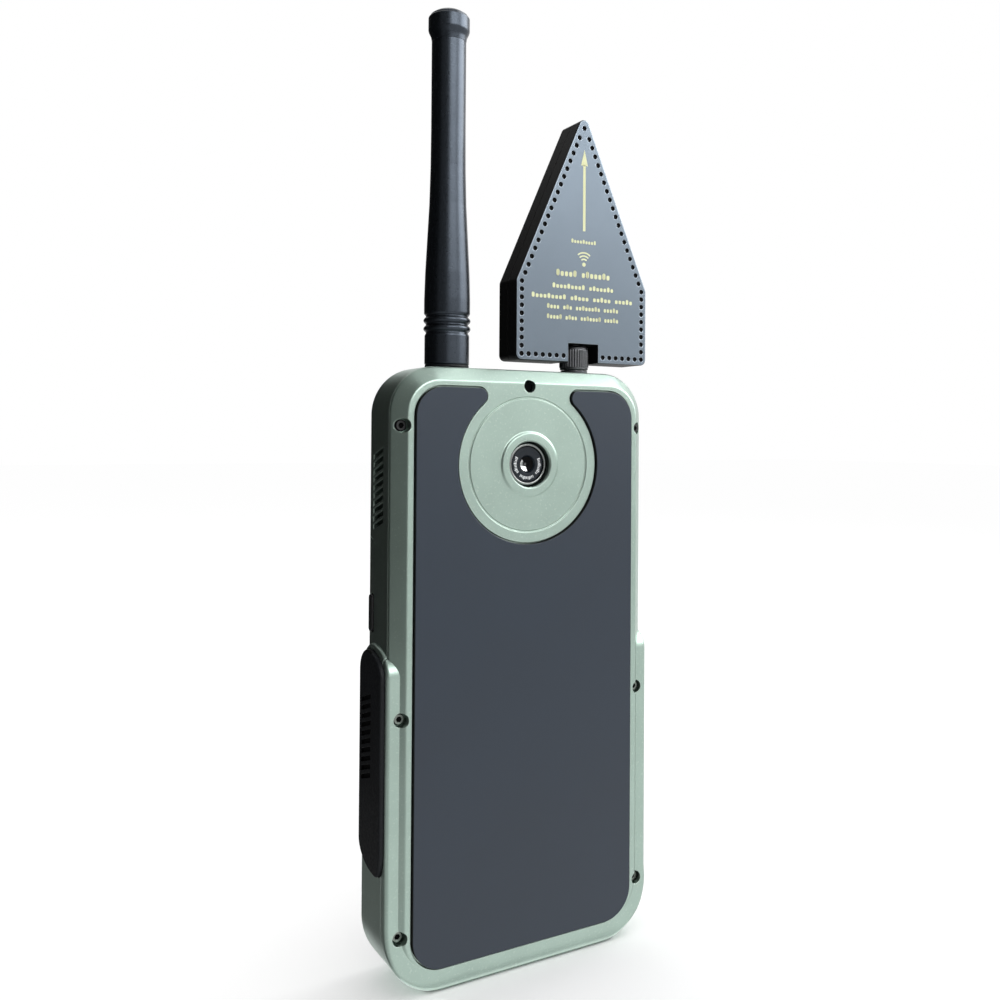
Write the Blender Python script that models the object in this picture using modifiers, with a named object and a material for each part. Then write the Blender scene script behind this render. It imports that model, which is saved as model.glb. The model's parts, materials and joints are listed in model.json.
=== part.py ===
"""Handheld spectrum analyzer with a screw-on rod antenna and a screw-on directional antenna.

Metres, +Z up. The body stands on its flat base, and the origin is the centre of the base.
The camera side faces -Y, the touch screen faces +Y, and +X is to the right when the camera
side is in view.
"""

import math

import bmesh
import bpy
from mathutils import Matrix, Vector

MM = 0.001
GAP = 0.3 * MM

# Driving dimensions of the body.
BODY_HEIGHT = 190.0 * MM
HALF_WIDTH = 46.1 * MM
GRIP_HALF_WIDTH = 47.6 * MM
REAR_Y = -11.75 * MM
FRONT_Y = 12.5 * MM
CHAMFER = 4.3 * MM
TOP_RADIUS = 15.0 * MM
BASE_RADIUS = 19.5 * MM
SEAM_Y = -7.2 * MM
EDGE_ROUNDING = 1.5 * MM
EDGE_LIFT = 0.4 * MM

# Grip section: its shoulder, the arch that ends it and the ramp that blends it into the base.
SHOULDER_Y = 10.25 * MM
ARCH_TOP = 104.4 * MM
ARCH_HEIGHT = 8.3 * MM
ARCH_CREST_Y = 3.0 * MM
RAMP_LOW = 7.2 * MM
RAMP_HIGH = 22.0 * MM
GRIP_REAR_Y = -11.74 * MM

# Rear panel and its pocket. The panel stands proud of the rim.
PANEL_HALF_WIDTH = 39.85 * MM
PANEL_LOW = 6.9 * MM
PANEL_HIGH = 184.0 * MM
PANEL_LOW_RADIUS = 10.5 * MM
PANEL_HIGH_RADIUS = 9.5 * MM
PANEL_JOINT = 0.475 * MM
PANEL_FACE_Y = -12.5 * MM
PANEL_BACK_Y = -10.45 * MM

# Camera boss on the rear.
CAMERA_Z = 159.6 * MM
BOSS_RADIUS = 25.0 * MM
LOBE_RADIUS = 3.0 * MM
GROOVE_RADIUS = 21.4 * MM
GROOVE_HALF_WIDTH = 0.35 * MM
GROOVE_DEPTH = 0.35 * MM
LIP_RADIUS = 9.7 * MM
LIP_RISE = 0.75 * MM
LIP_EDGE = 0.5 * MM
LIP_FOOT = 1.2 * MM
LIP_OVERLAP = 0.1 * MM
CAMERA_BORE = 7.3 * MM
PINHOLE_Z = 184.6 * MM
PINHOLE_RADIUS = 2.1 * MM
MICROPHONE_Y = (-9.5 * MM, -5.0 * MM)

# Camera, with heights measured rearwards.
LENS_FACE = 10.3 * MM
LENS_STEP = 9.5 * MM
LENS_APERTURE = 2.4 * MM
LENS_FACE_RADIUS = 5.6 * MM
BARREL_RADIUS = 7.0 * MM
BARREL_BORE = 5.0 * MM
BARREL_WEB = 6.5 * MM
BARREL_END = 3.0 * MM
RING_INNER = 5.9 * MM
RING_OUTER = 6.7 * MM
RING_RISE = 0.3 * MM
RING_CROWN = 0.45 * MM
LENS_RADIUS = 2.1 * MM
LENS_CROWN = 9.3 * MM
LENS_SHOULDER = 8.5 * MM
MODULE_HALF = 9.0 * MM
MODULE_ROUNDING = 0.6 * MM
MODULE_Y = (-2.7 * MM, 3.5 * MM)

# Cover screws: a shouldered pocket in the cover and a tapped hole in the frame.
SCREW_X = 43.0 * MM
SCREW_HEIGHTS = (171.6 * MM, 83.4 * MM, 18.6 * MM)
SCREW_POCKET = 2.15 * MM
SCREW_HEAD = 1.85 * MM
SCREW_HEAD_HEIGHT = 0.8 * MM
SCREW_SEAT_Y = -8.0 * MM
SCREW_SHANK = 1.0 * MM
SCREW_TIP_Y = -1.0 * MM
SOCKET_RADIUS = 0.9 * MM
SOCKET_DEPTH = 0.6 * MM
BOSS_WALL = 2.7 * MM

# Frame interior.
WALL = 2.5 * MM
FLOOR = 2.6 * MM
FRONT_WALL_Y = 8.2 * MM
COVER_WEB = 1.5 * MM
COVER_HOLLOW = 40.0 * MM
COVER_HOLLOW_INSET = 8.0 * MM
COVER_HOLLOW_LOW_RADIUS = 10.0 * MM
COVER_HOLLOW_HIGH_RADIUS = 8.0 * MM
BOSS_END_Y = 2.0 * MM
GLASS_HALF_WIDTH = 38.7 * MM
GLASS_LOW = 7.3 * MM
GLASS_RADIUS = 4.7 * MM
GLASS_BACK_Y = 11.2 * MM
GLASS_FRONT_Y = 12.0 * MM
DISPLAY_HALF_WIDTH = 36.2 * MM
DISPLAY_LOW = 12.0 * MM
DISPLAY_HIGH = 178.0 * MM
DISPLAY_BACK_Y = 7.6 * MM
DISPLAY_FRONT_Y = 10.9 * MM
WINDOW_MARGIN = 2.0 * MM
WINDOW_RADIUS = 3.0 * MM

# Electronics.
BOARD_HALF_WIDTH = 38.0 * MM
BOARD_Y = 5.0 * MM
BOARD_THICKNESS = 1.2 * MM
BOARD_NOTCH_X = -35.0 * MM
BOARD_NOTCH_Z = (108.0 * MM, 118.6 * MM)
BATTERY_HALF_WIDTH = 33.0 * MM
BATTERY_Y = (-8.2 * MM, 2.0 * MM)
BATTERY_Z = (14.0 * MM, 90.0 * MM)
BATTERY_ROUNDING = 2.0 * MM
SHIELD_X = (-16.0 * MM, 34.0 * MM)
SHIELD_LOW = 96.0 * MM
SHIELD_TOP = 142.0 * MM
SHIELD_SKIN = 0.5 * MM
SPEAKER_X = (9.0 * MM, 25.0 * MM)
SPEAKER_Y = (-6.4 * MM, 2.0 * MM)
SPEAKER_Z = (3.2 * MM, 11.0 * MM)
SPEAKER_ROUNDING = 1.0 * MM

# Charging port and sound holes in the base.
PORT_HALF_WIDTH = 4.5 * MM
PORT_HALF_DEPTH = 1.6 * MM
PORT_LOW = 0.5 * MM
PORT_HIGH = 8.0 * MM
PORT_SKIN = 0.4 * MM
PORT_EASE = 0.1 * MM
PORT_MOUTH_HIGH = 6.8 * MM
TONGUE_HALF_WIDTH = 3.3 * MM
TONGUE_HALF_DEPTH = 0.35 * MM
TONGUE_LOW = 1.5 * MM
SOUND_HOLE_RADIUS = 0.8 * MM
SOUND_HOLE_PITCH = 3.0 * MM
SOUND_HOLE_X = 11.0 * MM
SOUND_HOLE_Y = -3.0 * MM
SOUND_HOLE_COUNT = 5

# Slanted slots: vents in the side walls and grooves in the grip pads.
SLOT_COUNT = 10
VENT_TOP = 165.0 * MM
VENT_PITCH = 2.41 * MM
VENT_Y = (-2.45 * MM, 5.45 * MM)
VENT_HEIGHT = 1.4 * MM
VENT_DROP = 2.6 * MM
TREAD_TOP = 90.0 * MM
TREAD_PITCH = 2.65 * MM
TREAD_Y = (-1.25 * MM, 6.65 * MM)
TREAD_HEIGHT = 1.4 * MM
TREAD_DEPTH = 0.6 * MM
MARK_Y = (3.4 * MM, 7.4 * MM)
MARK_Z = (135.6 * MM, 137.2 * MM)
MARK_HEIGHT = 0.5 * MM
MARK_DEPTH = 0.4 * MM

# Grip pads.
LEFT_PAD = (47.2 * MM, 49.0 * MM)
RIGHT_PAD = (46.6 * MM, 47.7 * MM)
PAD_ROUNDING = 0.6 * MM
PAD_HALF_DEPTH = 8.85 * MM
PAD_TOP = 102.7 * MM
PAD_CREST_Y = 2.75 * MM
PAD_CREST_HEIGHT = 7.0 * MM
PAD_LOW = 36.0 * MM
PAD_TOE_Y = -4.75 * MM
PAD_TOE_HEIGHT = 8.0 * MM

# Power button.
BUTTON_Y = (4.7 * MM, 7.6 * MM)
BUTTON_Z = (107.5 * MM, 119.1 * MM)
BUTTON_OUTER = 46.7 * MM
BUTTON_RADIUS = 1.2 * MM
BUTTON_FLANGE = 0.8 * MM
BUTTON_STROKE = 0.4 * MM
FLANGE_THICKNESS = 1.0 * MM
SWITCH_X = (-41.5 * MM, -38.3 * MM)
SWITCH_HALF_HEIGHT = 2.5 * MM

# Antenna sockets and antennas.
ANTENNA_X = 23.9 * MM
JACK_RADIUS = 3.15 * MM
JACK_TOP = 196.5 * MM
JACK_END = 179.5 * MM
JACK_FLANGE = 4.6 * MM
JACK_FLANGE_HEIGHT = 0.7 * MM
JACK_SHOULDER = 182.0 * MM
JACK_TAIL = 1.2 * MM
JACK_NUT_RADIUS = 4.7 * MM
JACK_NUT_HEIGHT = 3.2 * MM
CONTACT_RADIUS = 0.75 * MM
CONTACT_LOW = 192.0 * MM
PIN_LOW = 193.0 * MM
PIN_RADIUS = 0.4 * MM
COAX_RADIUS = 0.6 * MM
COAX_LEFT_END_X = -13.7 * MM
COAX_OFFSET_Y = 2.35 * MM
COAX_POINTS = 14
COAX_BEND = 0.3
ROD_BASE = 191.2 * MM
ROD_TOP = 303.9 * MM
ROD_CAP_LOW = 294.3 * MM
ROD_FOOT_RADIUS = 7.1 * MM
ROD_RIB_RADIUS = 7.5 * MM
ROD_RIB_PITCH = 2.6 * MM
ROD_RIB_FLANK = 0.8 * MM
ROD_GROOVE_Z = 206.4 * MM
ROD_GROOVE_RADIUS = 6.8 * MM
ROD_GROOVE_HALF = 0.15 * MM
ROD_TIP_RADIUS = 5.5 * MM
ROD_CAP_RADIUS = 6.6 * MM
ROD_CAP_SIDE = 6.2 * MM
ROD_CAP_CROWN = ((2.2 * MM, 0.0), (0.3 * MM, 1.3 * MM), (0.0, 1.8 * MM))
ROD_CAP_LIP = 1.0 * MM
ROD_CAP_PLUG = 3.0 * MM
# Radii and heights of the sheath's taper, from the stem down to the flare.
ROD_TAPER = ((5.5 * MM, 266.0 * MM), (5.6 * MM, 253.5 * MM), (5.9 * MM, 242.0 * MM),
             (6.3 * MM, 234.4 * MM), (6.7 * MM, 226.8 * MM), (7.05 * MM, 220.0 * MM),
             (7.3 * MM, 211.5 * MM))
ROD_BORE = 2.4 * MM
ROD_SOCKET = 5.0 * MM
ROD_SOCKET_TOP = 201.0 * MM
RADIATOR_RADIUS = 1.0 * MM
RADIATOR_TOP = 290.0 * MM
PLUG_BORE = 1.3 * MM
GASKET_RADIUS = 6.8 * MM
GASKET_BORE = 4.95 * MM
GASKET_HEIGHT = 0.6 * MM
LOG_HALF_WIDTH = 25.9 * MM
LOG_HALF_DEPTH = 6.1 * MM
LOG_LOW = 193.6 * MM
LOG_SHOULDER = 219.7 * MM
LOG_APEX = 278.8 * MM
LOG_CORNER = 2.0 * MM
LOG_WALL = 1.5 * MM
LOG_BOARD_HALF = 0.8 * MM
NOTCH_HALF_WIDTH = 5.85 * MM
NOTCH_TOP = 199.8 * MM
NUT_RADIUS = 5.0 * MM
NUT_LOW = 191.3 * MM
NUT_HIGH = 199.4 * MM
NUT_CHAMFER = 0.6 * MM
NECK_RADIUS = 2.2 * MM
NECK_FLANGE = 4.0 * MM
NECK_FLANGE_HEIGHT = 1.5 * MM
NUT_LIP = 1.4 * MM

# Cooling fan.
FAN_X = -30.5 * MM
FAN_Z = 153.0 * MM
FAN_HALF = 12.0 * MM
FAN_BORE = 11.0 * MM
FAN_Y = (-6.5 * MM, 3.5 * MM)
FAN_BACK_PLATE = 1.0 * MM
FAN_OUTLET_HALF = 9.0 * MM
FAN_RIM = 1.5 * MM
FAN_PIN = 0.8 * MM
HUB_RADIUS = 4.0 * MM
BLADE_ROOT = 3.0 * MM
BLADE_TIP = 10.3 * MM
BLADE_HALF = 0.45 * MM
BLADE_COUNT = 7

ARC_STEP = 11.25
ROUND_SIDES = 32
TURNED_SIDES = 20
SMALL_SIDES = 12
MERGE = 0.01 * MM
REACH = 3.0 * MM

# An object's local +Z is turned along its axis: up for "z", rearwards for "y", outwards for "x".
TURNS = {
    "x": (math.pi / 2, 0.0, math.pi / 2),
    "y": (math.pi / 2, 0.0, 0.0),
    "z": (0.0, 0.0, 0.0),
}
AXES = {"x": Vector((1, 0, 0)), "y": Vector((0, 1, 0)), "z": Vector((0, 0, 1))}


def clear_objects():
    for item in list(bpy.data.objects):
        bpy.data.objects.remove(item, do_unlink=True)


def new_collection(name):
    group = bpy.data.collections.new(name)
    bpy.context.scene.collection.children.link(group)
    return group


clear_objects()
PARTS = new_collection("spectrum_analyzer")
TOOLS = new_collection("cutters")


def material(name, colour, roughness, metallic):
    look = bpy.data.materials.new(name)
    look.use_nodes = True
    shader = look.node_tree.nodes["Principled BSDF"]
    shader.inputs["Base Color"].default_value = (*colour, 1.0)
    shader.inputs["Roughness"].default_value = roughness
    shader.inputs["Metallic"].default_value = metallic
    return look


PAINT = material("sage_paint", (0.36, 0.44, 0.37), 0.45, 0.5)
SLATE = material("slate_panel", (0.055, 0.066, 0.08), 0.5, 0.0)
RUBBER = material("black_rubber", (0.012, 0.012, 0.014), 0.7, 0.0)
BLACK_PLASTIC = material("black_plastic", (0.02, 0.02, 0.022), 0.5, 0.0)
ANTENNA_PLASTIC = material("antenna_plastic", (0.03, 0.032, 0.036), 0.35, 0.0)
BLACK_GLASS = material("black_glass", (0.01, 0.01, 0.012), 0.05, 0.0)
LENS = material("lens_glass", (0.05, 0.06, 0.08), 0.03, 0.0)
STEEL = material("steel", (0.45, 0.45, 0.44), 0.3, 1.0)
BLACK_STEEL = material("black_steel", (0.04, 0.04, 0.042), 0.35, 1.0)
BRASS = material("gilt_brass", (0.75, 0.56, 0.25), 0.3, 1.0)
CIRCUIT = material("circuit_board", (0.02, 0.14, 0.06), 0.5, 0.0)
TIN = material("tinned_steel", (0.6, 0.61, 0.62), 0.35, 1.0)
FOIL = material("battery_wrap", (0.05, 0.07, 0.12), 0.4, 0.0)


def add_object(name, mesh, look, home):
    solid = bpy.data.objects.new(name, mesh)
    home.objects.link(solid)
    if look:
        mesh.materials.clear()
        mesh.materials.append(look)
    if home is TOOLS:
        solid.hide_render = True
        solid.display_type = "WIRE"
    return solid


def arc(centre, radius, start, end):
    """Points on a circle from start to end, in degrees, no more than ARC_STEP apart."""
    return ellipse_arc(centre, radius, radius, start, end)


def ellipse_arc(centre, radius_u, radius_v, start, end):
    count = max(2, math.ceil(abs(end - start) / ARC_STEP))
    points = []
    for index in range(count + 1):
        angle = math.radians(start + (end - start) * index / count)
        points.append((centre[0] + radius_u * math.cos(angle),
                       centre[1] + radius_v * math.sin(angle)))
    return points


def mirrored(half, middle=()):
    """A half outline on the +u side, points on the v axis, and the half's reflection."""
    return half + list(middle) + [(-u, v) for u, v in reversed(half)]


def rounded_outline(half_width, low, high, low_radius, high_radius):
    return mirrored(
        arc((half_width - low_radius, low + low_radius), low_radius, -90, 0)
        + arc((half_width - high_radius, high - high_radius), high_radius, 0, 90))


def rounded_box_outline(low, high, radius):
    """Outline between two (u, v) corners, with one radius all round."""
    (u0, v0), (u1, v1) = low, high
    return (arc((u1 - radius, v0 + radius), radius, -90, 0)
            + arc((u1 - radius, v1 - radius), radius, 0, 90)
            + arc((u0 + radius, v1 - radius), radius, 90, 180)
            + arc((u0 + radius, v0 + radius), radius, 180, 270))


def panel_outline(inset):
    """Rear panel outline: two lobes at the top pass round the camera boss and its neck."""
    width = PANEL_HALF_WIDTH - inset
    low_centre = (PANEL_HALF_WIDTH - PANEL_LOW_RADIUS, PANEL_LOW + PANEL_LOW_RADIUS)
    high_centre = (PANEL_HALF_WIDTH - PANEL_HIGH_RADIUS, PANEL_HIGH - PANEL_HIGH_RADIUS)
    lobe_z = PANEL_HIGH - LOBE_RADIUS
    lobe_x = math.sqrt((BOSS_RADIUS + LOBE_RADIUS) ** 2 - (lobe_z - CAMERA_Z) ** 2)
    touch = math.degrees(math.atan2(lobe_z - CAMERA_Z, lobe_x))
    right = (arc(low_centre, width - low_centre[0], -90, 0)
             + arc(high_centre, width - high_centre[0], 0, 90)
             + arc((lobe_x, lobe_z), LOBE_RADIUS - inset, 90, 180 + touch)
             + arc((0.0, CAMERA_Z), BOSS_RADIUS + inset, touch, -90)[1:-1])
    return mirrored(right)


def slot_outlines(top, pitch, span, height, drop):
    """Evenly pitched parallelograms that fall from the rear to the front."""
    outlines = []
    for index in range(SLOT_COUNT):
        high = top - index * pitch
        outlines.append([(span[0], high), (span[0], high - height),
                         (span[1], high - height - drop), (span[1], high - drop)])
    return outlines


def extruded(name, outlines, axis, start, end, look=None, home=TOOLS, chamfer=0.0):
    """Solid of a flat outline, or of a list of them, from start to end along an axis.

    A chamfer slopes both end faces' edges outwards, so the outline is that of the end faces.
    """
    if isinstance(outlines[0], tuple):
        outlines = [outlines]
    curve = bpy.data.curves.new(name + "_outline", "CURVE")
    curve.dimensions = "2D"
    curve.fill_mode = "BOTH"
    curve.extrude = (end - start) / 2 - chamfer
    curve.bevel_depth = chamfer
    curve.bevel_resolution = 0
    for outline in outlines:
        spline = curve.splines.new("POLY")
        spline.points.add(len(outline) - 1)
        for point, (u, v) in zip(spline.points, outline):
            point.co = (u, v, 0.0, 1.0)
        spline.use_cyclic_u = True
    flat = bpy.data.objects.new(name + "_outline", curve)
    bpy.context.scene.collection.objects.link(flat)
    flat.rotation_euler = TURNS[axis]
    flat.location = AXES[axis] * (start + end) / 2
    bpy.context.view_layer.update()
    depsgraph = bpy.context.evaluated_depsgraph_get()
    mesh = bpy.data.meshes.new_from_object(flat.evaluated_get(depsgraph))
    work = bmesh.new()
    work.from_mesh(mesh)
    bmesh.ops.remove_doubles(work, verts=work.verts, dist=MERGE)
    bmesh.ops.dissolve_limit(work, angle_limit=math.radians(0.5), verts=work.verts,
                             edges=work.edges)
    bmesh.ops.recalc_face_normals(work, faces=work.faces)
    work.to_mesh(mesh)
    work.free()
    solid = add_object(name, mesh, look, home)
    solid.matrix_world = flat.matrix_world.copy()
    bpy.data.objects.remove(flat, do_unlink=True)
    bpy.data.curves.remove(curve)
    return solid


def turned(name, profile, axis, centre, look=None, home=TOOLS, closed=False,
           sides=ROUND_SIDES):
    """Solid of revolution of (radius, height) points, run down its outer side.

    Heights are along the object's local +Z, so they are measured rearwards for axis "y".
    """
    mesh = bpy.data.meshes.new(name)
    work = bmesh.new()
    rim = [work.verts.new((radius, 0.0, height)) for radius, height in profile]
    for first, second in zip(rim, rim[1:]):
        work.edges.new((first, second))
    if closed:
        work.edges.new((rim[-1], rim[0]))
    work.to_mesh(mesh)
    work.free()
    solid = add_object(name, mesh, look, home)
    solid.location = centre
    solid.rotation_euler = TURNS[axis]
    screw = solid.modifiers.new("turn", "SCREW")
    screw.steps = sides
    screw.render_steps = sides
    screw.use_merge_vertices = True
    screw.merge_threshold = MERGE
    screw.use_smooth_shade = False
    return solid


def cylinder(name, radius, axis, start, end, centre, look=None, home=TOOLS,
             sides=SMALL_SIDES):
    """Round or many-sided bar from start to end along an axis, through a centre line."""
    mesh = bpy.data.meshes.new(name)
    work = bmesh.new()
    bmesh.ops.create_cone(work, cap_ends=True, segments=sides, radius1=radius,
                          radius2=radius, depth=end - start)
    work.to_mesh(mesh)
    work.free()
    solid = add_object(name, mesh, look, home)
    solid.rotation_euler = TURNS[axis]
    solid.location = Vector(centre) + AXES[axis] * (start + end) / 2
    return solid


def box(name, low, high, look=None, home=TOOLS):
    size = [b - a for a, b in zip(low, high)]
    middle = [(a + b) / 2 for a, b in zip(low, high)]
    mesh = bpy.data.meshes.new(name)
    work = bmesh.new()
    bmesh.ops.create_cube(work, size=1.0, matrix=Matrix.Diagonal((*size, 1.0)))
    work.to_mesh(mesh)
    work.free()
    solid = add_object(name, mesh, look, home)
    solid.location = middle
    return solid


def boolean(target, operation, tools):
    for tool in tools:
        step = target.modifiers.new(tool.name, "BOOLEAN")
        step.operation = operation
        step.object = tool
    return target


def cut(target, *tools):
    return boolean(target, "DIFFERENCE", tools)


def join(target, *tools):
    return boolean(target, "UNION", tools)


def round_edges(target, width, segments=2):
    bevel = target.modifiers.new("edges", "BEVEL")
    bevel.width = width
    bevel.segments = segments
    bevel.limit_method = "ANGLE"
    bevel.angle_limit = math.radians(50)
    return target


def smooth(solid):
    """Smooth shading that keeps creases."""
    solid.data.shade_smooth()
    solid.data.set_sharp_from_angle(angle=math.radians(35))
    return solid


def grip_side_outline():
    """Side view of the grip section: base ramp, rear shoulder, arch, front shoulder."""
    crest_z = ARCH_TOP - ARCH_HEIGHT
    front_arch = ellipse_arc((ARCH_CREST_Y, crest_z), SHOULDER_Y - ARCH_CREST_Y,
                             ARCH_HEIGHT, 0, 90)
    rear_arch = ellipse_arc((ARCH_CREST_Y, crest_z), SHOULDER_Y + ARCH_CREST_Y,
                            ARCH_HEIGHT, 90, 180)
    return ([(GRIP_REAR_Y, 0.0), (SHOULDER_Y, 0.0)] + front_arch + rear_arch[1:]
            + [(-SHOULDER_Y, RAMP_HIGH), (GRIP_REAR_Y, RAMP_LOW)])


def outer_form(name):
    """Outside of the whole body: a chamfered slab with the wider grip section joined on."""
    rim_half = HALF_WIDTH - CHAMFER
    slab_low = CHAMFER + EDGE_LIFT
    slab = extruded(
        name, rounded_outline(rim_half, slab_low, BODY_HEIGHT - CHAMFER,
                              BASE_RADIUS - CHAMFER, TOP_RADIUS - CHAMFER),
        "y", REAR_Y, FRONT_Y, PAINT, PARTS, CHAMFER)
    grip = extruded(
        name + "_grip", rounded_outline(GRIP_HALF_WIDTH, 0.0, ARCH_TOP + REACH,
                                        BASE_RADIUS, EDGE_ROUNDING),
        "y", REAR_Y - REACH, SHOULDER_Y + REACH)
    side = extruded(name + "_grip_side", grip_side_outline(), "x",
                    -GRIP_HALF_WIDTH - REACH, GRIP_HALF_WIDTH + REACH)
    boolean(grip, "INTERSECT", [side])
    round_edges(grip, EDGE_ROUNDING)
    return join(slab, grip)


def screw_places():
    return [(side * SCREW_X, z) for z in SCREW_HEIGHTS for side in (-1, 1)]


def at_screws(name, radius, start, end):
    return [cylinder(f"{name}_{index}", radius, "y", start, end, (x, 0.0, z))
            for index, (x, z) in enumerate(screw_places(), 1)]


def pad_outline(grow):
    """Grip pad in side view: a blunt arch at the top, a skewed toe at the bottom."""
    depth = PAD_HALF_DEPTH + grow
    crest = (PAD_CREST_Y, PAD_TOP - PAD_CREST_HEIGHT)
    toe = (PAD_TOE_Y, PAD_LOW + PAD_TOE_HEIGHT)
    rise = PAD_CREST_HEIGHT + grow
    fall = PAD_TOE_HEIGHT + grow
    return (ellipse_arc(toe, depth - PAD_TOE_Y, fall, -90, 0)
            + ellipse_arc(crest, depth - PAD_CREST_Y, rise, 0, 90)
            + ellipse_arc(crest, depth + PAD_CREST_Y, rise, 90, 180)[1:]
            + ellipse_arc(toe, depth + PAD_TOE_Y, fall, 180, 270)[:-1])


def pad_recesses(name):
    """Side recesses that seat the two grip pads."""
    outline = pad_outline(GAP)
    reach = GRIP_HALF_WIDTH + REACH
    return [extruded(name + "_left", outline, "x", -reach, GAP - LEFT_PAD[0]),
            extruded(name + "_right", outline, "x", RIGHT_PAD[0] - GAP, reach)]


def port_outline(grow):
    """Outline of the charging port, with fully rounded ends."""
    width, depth = PORT_HALF_WIDTH + grow, PORT_HALF_DEPTH + grow
    return rounded_box_outline((-width, -depth), (width, depth), depth - PORT_EASE)


def build_rear_cover():
    cover = outer_form("rear_cover")
    big = BODY_HEIGHT
    front_half = box("cover_split", (-big, SEAM_Y, -big), (big, big, 2 * big))
    pocket_floor = PANEL_BACK_Y + GAP
    pocket = extruded("panel_pocket", panel_outline(0.0), "y", REAR_Y - REACH, pocket_floor)
    hollow = extruded(
        "cover_hollow",
        rounded_outline(COVER_HOLLOW, COVER_HOLLOW_INSET, BODY_HEIGHT - COVER_HOLLOW_INSET,
                        COVER_HOLLOW_LOW_RADIUS, COVER_HOLLOW_HIGH_RADIUS),
        "y", pocket_floor + COVER_WEB, SEAM_Y + REACH)
    rear = -REAR_Y
    lip = turned(
        "camera_lip",
        [(CAMERA_BORE - MM, rear + LIP_RISE), (LIP_RADIUS, rear + LIP_RISE),
         (LIP_RADIUS + LIP_EDGE, rear + LIP_EDGE), (LIP_RADIUS + LIP_FOOT, rear - LIP_OVERLAP),
         (LIP_RADIUS + LIP_FOOT, rear - MM), (CAMERA_BORE - MM, rear - MM)],
        "y", (0.0, 0.0, CAMERA_Z), closed=True)
    groove = turned(
        "ring_groove",
        [(GROOVE_RADIUS - GROOVE_HALF_WIDTH, rear + MM),
         (GROOVE_RADIUS + GROOVE_HALF_WIDTH, rear + MM),
         (GROOVE_RADIUS + GROOVE_HALF_WIDTH, rear), (GROOVE_RADIUS, rear - GROOVE_DEPTH),
         (GROOVE_RADIUS - GROOVE_HALF_WIDTH, rear)],
        "y", (0.0, 0.0, CAMERA_Z), closed=True)
    bore = cylinder("camera_bore", CAMERA_BORE, "y", REAR_Y - REACH, SEAM_Y + REACH,
                    (0.0, 0.0, CAMERA_Z), sides=ROUND_SIDES)
    pinhole = cylinder("pinhole", PINHOLE_RADIUS, "y", REAR_Y - REACH, SEAM_Y + REACH,
                       (0.0, 0.0, PINHOLE_Z))
    cut(cover, front_half, pocket, hollow)
    join(cover, lip)
    cut(cover, groove, bore, pinhole)
    cut(cover, *at_screws("screw_pocket", SCREW_POCKET, REAR_Y - REACH, SCREW_SEAT_Y))
    cut(cover, *at_screws("screw_passage", SCREW_SHANK + GAP, REAR_Y, SEAM_Y + REACH))
    return smooth(cut(cover, *pad_recesses("cover_pad_recess")))


def build_main_frame():
    frame = outer_form("main_frame")
    big = BODY_HEIGHT
    rear_half = box("frame_split", (-big, -big, -big), (big, SEAM_Y + GAP, 2 * big))
    cavity = extruded(
        "frame_cavity",
        rounded_outline(HALF_WIDTH - WALL, FLOOR, BODY_HEIGHT - FLOOR,
                        BASE_RADIUS - WALL, TOP_RADIUS - WALL),
        "y", SEAM_Y - REACH, FRONT_WALL_Y)
    cut(cavity, *at_screws("screw_boss", BOSS_WALL, SEAM_Y - 2 * REACH, BOSS_END_Y))
    seat_half = GLASS_HALF_WIDTH + GAP
    seat_low = GLASS_LOW - GAP
    glass_seat = extruded(
        "glass_seat", rounded_outline(seat_half, seat_low, BODY_HEIGHT - seat_low,
                                      GLASS_RADIUS + GAP, GLASS_RADIUS + GAP),
        "y", GLASS_BACK_Y - GAP, FRONT_Y + REACH)
    window = extruded(
        "display_window",
        rounded_outline(DISPLAY_HALF_WIDTH + GAP, DISPLAY_LOW - WINDOW_MARGIN,
                        DISPLAY_HIGH + WINDOW_MARGIN, WINDOW_RADIUS, WINDOW_RADIUS),
        "y", FRONT_WALL_Y - REACH, FRONT_Y)
    cut(frame, rear_half, cavity, glass_seat, window)
    cut(frame, *at_screws("screw_thread", SCREW_SHANK + GAP, SEAM_Y - REACH,
                          SCREW_TIP_Y + GAP))
    vents = slot_outlines(VENT_TOP, VENT_PITCH, VENT_Y, VENT_HEIGHT, VENT_DROP)
    outer, inner = HALF_WIDTH + REACH, HALF_WIDTH - WALL - REACH
    cut(frame, extruded("vents_left", vents, "x", -outer, -inner),
        extruded("vents_right", vents, "x", inner, outer))
    cut(frame, extruded(
        "button_slot", rounded_box_outline((BUTTON_Y[0] - GAP, BUTTON_Z[0] - GAP),
                                           (BUTTON_Y[1] + GAP, BUTTON_Z[1] + GAP),
                                           BUTTON_RADIUS + GAP),
        "x", -outer, -inner))
    mark = [(MARK_Y[0], MARK_Z[0]), (MARK_Y[0], MARK_Z[0] - MARK_HEIGHT),
            (MARK_Y[1], MARK_Z[1] - MARK_HEIGHT), (MARK_Y[1], MARK_Z[1])]
    cut(frame, extruded("index_mark", mark, "x", -outer, -HALF_WIDTH + MARK_DEPTH))
    for side, sign in (("left", -1), ("right", 1)):
        cut(frame, cylinder(f"jack_hole_{side}", JACK_RADIUS + GAP, "z",
                            BODY_HEIGHT - FLOOR - REACH, BODY_HEIGHT + REACH,
                            (sign * ANTENNA_X, 0.0, 0.0)))
    cut(frame, extruded("port_hole", port_outline(GAP), "z", -REACH, FLOOR + MM))
    for index in range(SOUND_HOLE_COUNT):
        centre = (SOUND_HOLE_X + index * SOUND_HOLE_PITCH, SOUND_HOLE_Y, 0.0)
        cut(frame, cylinder(f"sound_hole_{index + 1}", SOUND_HOLE_RADIUS, "z", -REACH,
                            FLOOR + MM, centre, sides=8))
    return smooth(cut(frame, *pad_recesses("frame_pad_recess")))


def build_rear_panel():
    smooth(extruded("rear_panel", panel_outline(PANEL_JOINT), "y", PANEL_FACE_Y, PANEL_BACK_Y,
                    SLATE, PARTS))


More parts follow.
